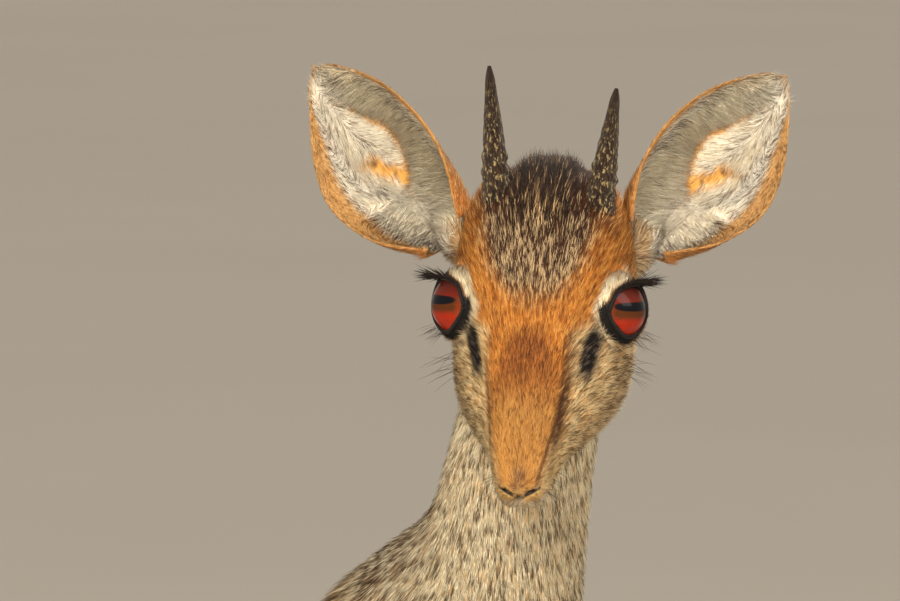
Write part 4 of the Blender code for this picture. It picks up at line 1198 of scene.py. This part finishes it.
class Paint:
    """A material built node by node round one Principled shader."""

    def __init__(self, name, **constants):
        self.material = bpy.data.materials.new(name)
        self.material.use_nodes = True
        self.tree = self.material.node_tree
        self.shader = self.tree.nodes["Principled BSDF"]
        for socket, value in constants.items():
            self.shader.inputs[socket.replace("_", " ")].default_value = value

    def put(self, socket, value):
        """Links a value to a socket, or sets it as a constant."""
        if isinstance(value, Value):
            self.tree.links.new(value.socket, socket)
        elif socket.type == "RGBA":
            socket.default_value = (*value, 1)
        elif value is not None:
            socket.default_value = value

    def node(self, kind, settings=None, inputs=(), output=0):
        """One node: its settings first, then its inputs by number or by name."""
        made = self.tree.nodes.new(kind)
        for name, value in (settings or {}).items():
            setattr(made, name, value)
        named = inputs.items() if isinstance(inputs, dict) else enumerate(inputs)
        for name, value in named:
            self.put(made.inputs[name], value)
        return Value(self, made.outputs[output])

    def mix(self, share, first, second):
        """A colour between two others."""
        return self.node("ShaderNodeMix", {"data_type": "RGBA"}, {0: share, 6: first, 7: second}, 2)

    def noise(self, place, scale, detail=4.0, roughness=0.55):
        """Soft random values from 0 to 1 at a place."""
        inputs = {"Vector": place, "Scale": scale, "Detail": detail, "Roughness": roughness}
        return self.node("ShaderNodeTexNoise", None, inputs)

    def place(self):
        """The piece's own coordinates."""
        return self.node("ShaderNodeTexCoord", output="Object")

    def stretched(self, place, amounts):
        """A place stretched by an amount along each axis."""
        return self.node("ShaderNodeVectorMath", {"operation": "MULTIPLY"}, [place, amounts])

    def feed(self, name, value):
        """Sends a value to one of the shader's sockets."""
        self.put(self.shader.inputs[name], value)

    def bump(self, height, strength, distance):
        """Gives the shader's normal a relief."""
        inputs = {"Strength": strength, "Distance": distance, "Height": height}
        self.feed("Normal", self.node("ShaderNodeBump", None, inputs))


def hair_paint(name, shine, bump):
    """Hair or skin in the colours stored at its points, mottled a little, with a fine relief."""
    paint = Paint(name, Roughness=0.72, Specular_IOR_Level=shine)
    tint = paint.node("ShaderNodeAttribute", {"attribute_name": "tint"})
    place = paint.place()
    cloud = paint.noise(place, 180.0)
    dark = paint.node("ShaderNodeVectorMath", {"operation": "MULTIPLY"}, [tint, (0.72, 0.70, 0.68)])
    paint.feed("Base Color", paint.mix(cloud.step(0.62, 0.3) * 0.55, tint, dark))
    paint.feed("Roughness", 0.62 + cloud * 0.2)
    paint.bump(paint.noise(place, 2600.0, 2.0), bump, 0.0004)
    return paint.material


def eye_paint():
    """Red-brown iris with a level dark pupil, read from the eye's own map, under a wet coat; its lower part is painted
    bright red as painted light through the cornea, and its top painted dark as painted shade under the upper lid.
    """
    paint = Paint("wet_eye", Roughness=0.3, Coat_Weight=0.42, Coat_Roughness=0.02, Specular_IOR_Level=0.05)
    paint.shader.inputs["Coat IOR"].default_value = 1.28
    plan = paint.node("ShaderNodeUVMap", {"uv_map": "iris"})
    across = paint.node("ShaderNodeSeparateXYZ", None, [plan], 0) * 2 - 1
    up = paint.node("ShaderNodeSeparateXYZ", None, [plan], 1) * 2 - 1
    far = (across**2 + up**2) ** 0.5
    turn = paint.node("ShaderNodeMath", {"operation": "ARCTAN2"}, [up, across])
    fibre = paint.node(
        "ShaderNodeTexNoise",
        None,
        {"Vector": paint.node("ShaderNodeCombineXYZ", None, [turn * 9.0, far * 2.2, 0.0]), "Scale": 2.0, "Detail": 5.0},
    )
    # Painted light and shade: the iris is bright red at the bottom, as light through the cornea, and darkens towards
    # the top, as shade under the upper lid. The paler ring fades out at the top for the same shade.
    below = paint.mix(up.step(-0.24, -0.02), (0.25, 0.014, 0.003), (0.060, 0.018, 0.005))
    upper = paint.mix(up.step(0.3, 0.75), (0.10, 0.010, 0.005), (0.030, 0.006, 0.004))
    body = paint.mix(up.step(0.16, 0.36), below, upper)
    streaked = paint.mix(fibre.step(0.42, 0.72) * 0.45, body, (0.045, 0.006, 0.003))
    ringed = paint.mix(far.step(0.62, 0.76) * up.step(0.5, -0.2) * 0.8, streaked, (0.20, 0.026, 0.006))
    rimmed = paint.mix(far.step(0.80, 0.90), ringed, (0.020, 0.007, 0.004))
    level = (across * 1.5) ** 4 + ((up - 0.21) * 8.4) ** 2
    pupil = paint.mix(level.step(1.35, 0.75), rimmed, (0.003, 0.003, 0.005))
    paint.feed("Base Color", pupil)
    paint.bump(fibre, 0.05, 0.0003)
    return paint.material


def lid_paint():
    """Bare black skin, finely wrinkled and moist."""
    paint = Paint("lid_skin", Roughness=0.38, Specular_IOR_Level=0.25)
    place = paint.place()
    grain = paint.noise(place, 900.0)
    paint.feed("Base Color", paint.mix(grain.step(0.3, 0.8), (0.004, 0.003, 0.003), (0.016, 0.011, 0.010)))
    paint.feed("Roughness", 0.28 + grain * 0.3)
    paint.bump(grain, 0.4, 0.0004)
    return paint.material


def horn_paint():
    """Glossy dark keratin: red-brown fibres along the horn and straw-coloured worn patches."""
    paint = Paint("horn_keratin", Roughness=0.42, Specular_IOR_Level=0.42)
    plan = paint.node("ShaderNodeUVMap", {"uv_map": "horn_plan"})
    fibre = paint.noise(paint.stretched(plan, (26.0, 3.0, 1.0)), 3.0, 6.0)
    fleck = paint.noise(paint.stretched(plan, (5.0, 5.0, 1.0)), 3.2, 6.0, 0.7)
    along = paint.node("ShaderNodeSeparateXYZ", None, [plan], 1)
    dark = paint.mix(fibre.step(0.44, 0.66), (0.005, 0.003, 0.002), (0.085, 0.038, 0.020))
    worn = paint.mix(fleck.step(0.53, 0.62) * along.step(1.05, 0.5) * 0.9, dark, (0.50, 0.38, 0.17))
    paint.feed("Base Color", worn)
    paint.feed("Roughness", 0.22 + fibre * 0.3)
    paint.bump(fibre * 0.6 + fleck * 1.2, 1.0, 0.0018)
    return paint.material


def hoof_paint():
    """Black hoof horn with faint growth rings and dust at the edge of the sole."""
    paint = Paint("hoof_keratin", Roughness=0.45, Specular_IOR_Level=0.45)
    place = paint.place()
    height = paint.node("ShaderNodeSeparateXYZ", None, [place], 2)
    cloud = paint.noise(place, 260.0)
    wave = paint.node("ShaderNodeMath", {"operation": "SINE"}, [height * 4200.0 + cloud * 5.0])
    base = paint.mix(cloud.step(0.3, 0.8), (0.012, 0.010, 0.009), (0.060, 0.048, 0.038))
    dusty = paint.mix(height.step(0.004, 0.0) * cloud * 0.9, base, (0.22, 0.18, 0.13))
    paint.feed("Base Color", dusty)
    paint.feed("Roughness", 0.36 + cloud * 0.3)
    paint.bump(wave * 0.3 + cloud, 0.5, 0.0003)
    return paint.material


def floor_paint():
    """A pale studio floor with the faintest mottling."""
    paint = Paint("studio_floor", Roughness=0.8)
    cloud = paint.noise(paint.place(), 1.5)
    paint.feed("Base Color", paint.mix(cloud, (0.55, 0.51, 0.45), (0.60, 0.56, 0.50)))
    return paint.material


def add_map(mesh, name, values):
    """A map laid out by one pair of numbers for each point."""
    corners = np.empty(len(mesh.loops), np.int32)
    mesh.loops.foreach_get("vertex_index", corners)
    layer = mesh.uv_layers.new(name=name)
    layer.data.foreach_set("uv", values[corners].astype(np.float32).ravel())


def make_eye(side, name):
    """An eyeball with a low cornea, mapped so that the pupil lies level with the horizon."""
    centre, out, along, across = eye_frame(side)
    rings = ball(centre, EYE_RADIUS - 0.1 * MM, out, along, across, 56, 96, CORNEA)
    eye = solid("eyeball_" + name, [from_head(rings)])
    outward = TURN @ out
    level = unit(np.cross([0, 0, 1.0], outward))
    upward = np.cross(outward, level)
    points = read_mesh(eye.data)[0] - from_head(centre)
    plan = np.stack([points @ level, points @ upward], 1) / EYE_RADIUS
    add_map(eye.data, "iris", 0.5 + 0.5 * plan)
    return eye


def make_lid_rim(side, name):
    """The moist black margin between the lids, a little thicker at the corner towards the nose."""
    eye = eye_frame(side)
    turn = np.linspace(0, 2 * np.pi, 121)
    rim = eye[0] + (EYE_RADIUS + 0.2 * MM) * opening_rim(eye, turn)
    front = np.exp(-((np.angle(np.exp(1j * turn)) / 0.5) ** 2))
    under = np.exp(-(((turn / np.pi - 0.56) / 0.36) ** 4))
    thick = (0.45 + 0.25 * front - 0.25 * under) * MM
    rings = tube(from_head(rim), thick, 12)
    return solid("lid_rim_" + name, [rings[:61], rings[60:]])


def blade_object(name, root, lie, out, length, width, droop, tint, rings=4):
    """Single long hairs as tapering blades of one tone."""
    count = len(root)
    points, triangles, along, across = blades(
        root, unit(lie), unit(out), length, width, 0.45 * width, np.full(count, droop), np.zeros(count), rings
    )
    colours = np.repeat(tint * DRAW.uniform(0.7, 1.3, count)[:, None], len(along), 0)
    unwrap = np.stack([np.linspace(0.1, 0.9, count).repeat(len(along)), np.tile(0.1 + 0.8 * along, count)], 1)
    return coat_mesh(name, points, triangles, colours, unwrap)


def make_lashes(side, name):
    """Black lashes: long and thick over the rear of the eye, short and thin under it."""
    eye = eye_frame(side)
    centre, out, along, across = eye
    upper = np.pi * (1.2 + 0.15 * np.clip(DRAW.normal(0, 1, 190), -1.6, 1.9))
    lower = np.pi * DRAW.uniform(0.16, 0.44, 26)
    turn = np.concatenate([upper, lower])
    over = turn > np.pi
    ray = opening_rim(eye, turn)
    away = unit(ray - out * (ray @ out)[:, None])
    root = centre + (EYE_RADIUS + DRAW.uniform(0.4, 1.5, len(turn))[:, None] * MM) * ray
    rear = np.exp(-(((turn / np.pi - 1.14) / 0.17) ** 2))
    reach = np.where(over, 2.6 + 8.5 * rear, 7.5)
    length = reach * MM * DRAW.uniform(0.55, 1.15, len(turn))
    thick = np.where(over, 0.17, 0.1) * MM
    level = np.array([-0.12, side * 1.0, -0.16])
    share = np.where(over, 0.25 + 0.65 * rear, 0.6)[:, None]
    lie = share * level + (1 - share) * (away + 0.3 * out) + DRAW.normal(0, 0.13, (len(turn), 3))
    bend = unit(-out[None] + 0.6 * across[None] + 0 * ray)
    tint = tone(30, 22, 18)
    return blade_object(
        "lashes_" + name, from_head(root), lie @ TURN.T, -bend @ TURN.T, length, thick, 0.2, tint
    )


def make_whiskers(side, name):
    """Long fine dark hairs under the eye and on the cheek, and short ones round the lips."""
    cheek = DRAW.uniform([4, 25, -16], [20, 28, -7], (16, 3))
    lips = DRAW.uniform([54, 7.5, -19], [65, 9, -14], (14, 3))
    root = np.concatenate([cheek, lips]) * [1, side, 1] * MM
    lie = np.concatenate(
        [
            np.array([-0.15, 0.9, -0.75]) + DRAW.normal(0, 0.22, (16, 3)),
            np.array([0.1, 0.9, -0.55]) + DRAW.normal(0, 0.2, (14, 3)),
        ]
    ) * [1, side, 1]
    length = np.concatenate([DRAW.uniform(11, 17, 16), DRAW.uniform(5, 8, 14)]) * MM
    out = np.tile([0.2, 0.0, 1.0], (30, 1))
    return blade_object(
        "whiskers_" + name,
        from_head(root),
        lie @ TURN.T,
        out @ TURN.T,
        length,
        np.full(30, 0.14 * MM),
        0.2,
        tone(40, 30, 26),
    )


def make_horn(side, name):
    """A short straight horn: lumpy rings over its lower half, fine fibres and a worn tip."""
    length = HORN_LENGTH[name]
    place = np.linspace(-0.18, 1, 130)
    turn = np.linspace(0, 2 * np.pi, 56, endpoint=False)
    radius = smooth(HORN_RADII, place)
    ringed = np.clip(1 - place / 0.66, 0, 1)[:, None] ** 0.7
    wave = np.sin(2 * np.pi * (place[:, None] * 8.5 + 0.09 * np.sin(2 * turn + 1.3 * side)))
    uneven = 0.6 + 0.4 * np.sin(3 * turn + 23 * place[:, None] + side) * np.sin(2 * turn - 7 * place[:, None])
    lump = 0.36 * ringed * uneven * np.sign(wave) * np.abs(wave) ** 0.7
    knob = 0.42 * ringed * np.sin(5 * turn + 11 * place[:, None]) * np.sin(3 * turn - 31 * place[:, None])
    fibre = 0.08 * np.sin(17 * turn + 1.5 * np.sin(9 * place[:, None])) * (1 - 0.5 * ringed)
    flat = 1 - 0.05 * np.cos(2 * turn)
    size = (radius * flat + (lump + knob + fibre) * np.clip(radius / 3, 0, 1)) * MM
    lean = unit(np.array([-math.cos(HORN_RISE), side * math.sin(HORN_SPLAY), math.sin(HORN_RISE)]))
    first = unit(np.array([0, 1.0, 0]) - lean * lean[1])
    second = np.cross(lean, first)
    middle = np.array(HORN_ROOT[name]) * MM + (place * length)[:, None] * lean
    rings = middle[:, None] + size[..., None] * (
        np.cos(turn)[None, :, None] * first + np.sin(turn)[None, :, None] * second
    )
    horn = solid("keratin_" + name, [from_head(rings)])
    fold = np.abs(turn / np.pi - 1)
    plan = np.stack([np.tile(fold, len(place)), np.repeat(place, len(turn))], 1)
    add_map(horn.data, "horn_plan", plan)
    return horn


def hoof_rings(rows, side, lead, toe):
    """One half of a foot: smooth level rings from the sole to the coronet."""
    x, y, low = np.array(rows[-1][:3]) * [1, side, 1]
    x = x + lead / MM * (1 - rows[-1][2] / rows[0][2])
    outline = np.array(HOOF_OUTLINE)
    closed = np.vstack([outline[-2:], outline, outline[:3]])
    print_line = smooth(by_index(closed), np.linspace(2, 10, 48, endpoint=False))
    levels = smooth(np.array(HOOF_LEVELS)[:, [0, 0, 1, 2]], np.linspace(0, 14.2, 26))
    rings = []
    for height, swell, slide in levels:
        ring = np.maximum(print_line * swell, [-99, 0.55])
        rings.append(np.stack([ring[:, 0] + slide, ring[:, 1] * toe * side, np.full(len(ring), height)], 1))
    return (np.array(rings) + [x, y, 0]) * MM + ROOT


def make_hooves(leg, rows, side, lead):
    """Two pointed hooves, and the two small dewclaws behind the fetlock."""
    made = []
    for toe, name in ((1, "outer"), (-1, "inner")):
        hoof = solid(f"{leg}_{name}_hoof_horn", [hoof_rings(rows, side, lead, toe)])
        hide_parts(f"{leg}_hoof_{name}")
        made.append(hoof)
    fetlock = level_surface(rows, np.array([36.0]) * MM, 40, side, lead)[0]
    claws = []
    for toe in (1, -1):
        angle = np.pi - toe * 0.62
        spot = fetlock[int(round(angle / (2 * np.pi) * 40)) % 40]
        away = unit((spot - fetlock.mean(0)) * [1, 1, 0])
        down = unit(np.array([0, 0, -1.0]) + 0.45 * away)
        first = np.cross(down, away)
        place = np.linspace(0, 1, 22)
        size = 2.1 * MM * np.sin(np.pi * (0.12 + 0.86 * place)) ** 0.7
        bend = spot - 1.0 * MM * away + (place * 6.5 * MM)[:, None] * down
        turn = np.linspace(0, 2 * np.pi, 20, endpoint=False)[None, :, None]
        claws.append(bend[:, None] + size[:, None, None] * (np.cos(turn) * away + np.sin(turn) * first))
    made.append(solid(f"{leg}_dewclaws", claws))
    return made


def finish_piece(piece, material):
    """Gives a piece its material and slot, and lets it ride on the object's one body."""
    piece.data.materials.clear()
    piece.data.materials.append(material)
    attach(piece, "root")


def soft_light(name, place, aim, size, power, colour):
    """A square soft box that faces a point."""
    light = bpy.data.lights.new(name, "AREA")
    light.shape = "SQUARE"
    light.size = size
    light.energy = power
    light.color = colour
    lamp = bpy.data.objects.new(name, light)
    lamp.location = place
    lamp.rotation_euler = (Vector(aim) - Vector(place)).to_track_quat("-Z", "Y").to_euler()
    bpy.context.scene.collection.objects.link(lamp)


def make_studio():
    """Pale floor and surround, three soft lights, and the camera at the photograph's angle."""
    mesh = bpy.data.meshes.new("studio_floor")
    edge = 14.0
    mesh.from_pydata([(-edge, -edge, 0), (edge, -edge, 0), (edge, edge, 0), (-edge, edge, 0)], [], [(0, 1, 2, 3)])
    floor = new_object("studio_floor", mesh)
    mesh.materials.append(floor_paint())
    azimuth, elevation = math.radians(40), math.radians(5)
    towards = np.array(
        [math.sin(azimuth) * math.cos(elevation), -math.cos(azimuth) * math.cos(elevation), math.sin(elevation)]
    )
    right = np.array([math.cos(azimuth), math.sin(azimuth), 0.0])
    up = np.cross(towards, right)
    aim = HEAD_AT - 0.0292 * right + 0.0021 * up
    camera = bpy.data.objects.new("camera", bpy.data.cameras.new("camera"))
    camera.data.lens = 400
    camera.data.sensor_width = 36
    camera.data.clip_end = 100
    camera.location = aim + 3.28 * towards
    camera.rotation_euler = Matrix(np.stack([right, up, towards], 1)).to_euler()
    bpy.context.scene.collection.objects.link(camera)
    bpy.context.scene.camera = camera
    head = HEAD_AT
    soft_light("key", head + 2.1 * towards - 0.5 * right + 0.68 * up, head, 0.42, 78, (1.0, 0.91, 0.76))
    soft_light("fill", head + 1.2 * towards + 1.2 * right + 1.1 * up, head, 1.1, 20, (1.0, 0.95, 0.88))
    soft_light("rim", head - 1.6 * towards + 0.4 * right + 1.4 * up, head, 1.0, 24, (1.0, 0.95, 0.86))
    world = bpy.data.worlds.new("studio")
    world.use_nodes = True
    background = world.node_tree.nodes["Background"]
    background.inputs["Color"].default_value = (1.0, 0.91, 0.79, 1)
    background.inputs["Strength"].default_value = 0.62
    bpy.context.scene.world = world
    bpy.context.scene.view_settings.view_transform = "Standard"


def main():
    amount = 1.0
    regions = make_regions()
    piece = make_skin()
    skin = Skin(piece, regions)
    paint_points(piece.data, skin.colour())
    flesh = ["head", "neck", "torso", "tail", "ear_left", "ear_right"]
    for leg, rows, side, lead in LEGS:
        names = ("shoulder", "forearm", "cannon") if leg.startswith("fore") else ("thigh", "shank", "cannon")
        flesh += [f"{leg}_{name}" for name in names]
    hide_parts(*flesh)
    finish_piece(piece, hair_paint("bare_skin", 0.25, 0.5))

    names = [region.name for region in regions]
    own = skin.own[skin.corners[:, 0]]
    ring = skin.place[skin.corners[:, 0], 1] * 16
    middle = skin.points[skin.corners].mean(1)
    left = middle[:, 1] > ROOT[1]
    spot = to_head(middle) / MM
    in_trunk, in_head = own == names.index("trunk"), own == names.index("head")
    ears = [names.index(f"{side}_{face}") for side in ("left", "right") for face in ("inside", "outside")]
    strips = {k: (0.25 * number, 0.24) for number, k in enumerate(ears)}
    legs = [names.index(leg[0]) for leg in LEGS]
    strips.update({k: (0.5 * (number % 2), 0.48) for number, k in enumerate(legs)})
    fore, hind = np.isin(own, legs[:2]), np.isin(own, legs[2:])
    reach = np.interp(spot[:, 0], [-46, -38, -17, -11], [3, 8.5, 9, 4])
    tufted = in_head & (np.abs(spot[:, 0] + 28) < 17) & (np.abs(spot[:, 1]) < reach) & (spot[:, 2] > 8)
    hair = hair_paint("hair", 0.22, 0.12)
    coats = [
        ("coat_head", in_head, 1, amount, 1.0, (1.6, 0.48, 0.75), "rufous_coat"),
        ("coat_crest", tufted, 2, amount, 1.4, (1.6, 0.48, 0.75), "rufous_coat"),
        ("coat_neck", in_trunk & (ring >= NECK_RING), 1, amount, 1.0, (0.8, 0.8, 2.2), "grizzled_coat"),
        ("coat_torso_left", in_trunk & (ring < NECK_RING) & left, 1, amount, 1.0, (4, 1.3, 1.3), "grizzled_coat"),
        ("coat_torso_right", in_trunk & (ring < NECK_RING) & ~left, 1, amount, 1.0, (4, 1.3, 1.3), "grizzled_coat"),
        ("coat_fore_legs", fore, 1, amount, 1.0, (0.9, 0.9, 3), "tawny_coat"),
        ("coat_hind_legs", hind, 1, amount, 1.0, (0.9, 0.9, 3), "tawny_coat"),
        ("coat_tail", own == names.index("tail"), 2, amount, 1.0, (1, 1, 3), "grizzled_coat"),
        ("coat_ears", np.isin(own, ears), 1, 1.25 * amount, 1.0, (0.5, 0.5, 0.5), "rufous_coat"),
    ]
    total = 0
    for name, chosen, rings, share, longer, clump, slot in coats:
        for coat in grow_coat(name, skin, chosen, strips, rings, share, longer, clump):
            finish_piece(coat, hair)
            total += len(coat.data.polygons)
            print(coat.name, len(coat.data.polygons))
    print("coat", total, "skin", len(skin.corners))

    eye_finish, lid_finish, horn_finish, hoof_finish = eye_paint(), lid_paint(), horn_paint(), hoof_paint()
    for side, name in ((1, "left"), (-1, "right")):
        eye = make_eye(side, name)
        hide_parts("eye_" + name)
        finish_piece(eye, eye_finish)
        finish_piece(make_lid_rim(side, name), lid_finish)
        finish_piece(make_lashes(side, name), hair)
        finish_piece(make_whiskers(side, name), hair)
        horn = make_horn(side, name)
        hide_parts("horn_" + name)
        finish_piece(horn, horn_finish)
    for leg, rows, side, lead in LEGS:
        for hoof in make_hooves(leg, rows, side, lead):
            finish_piece(hoof, hoof_finish)
    make_studio()


main()
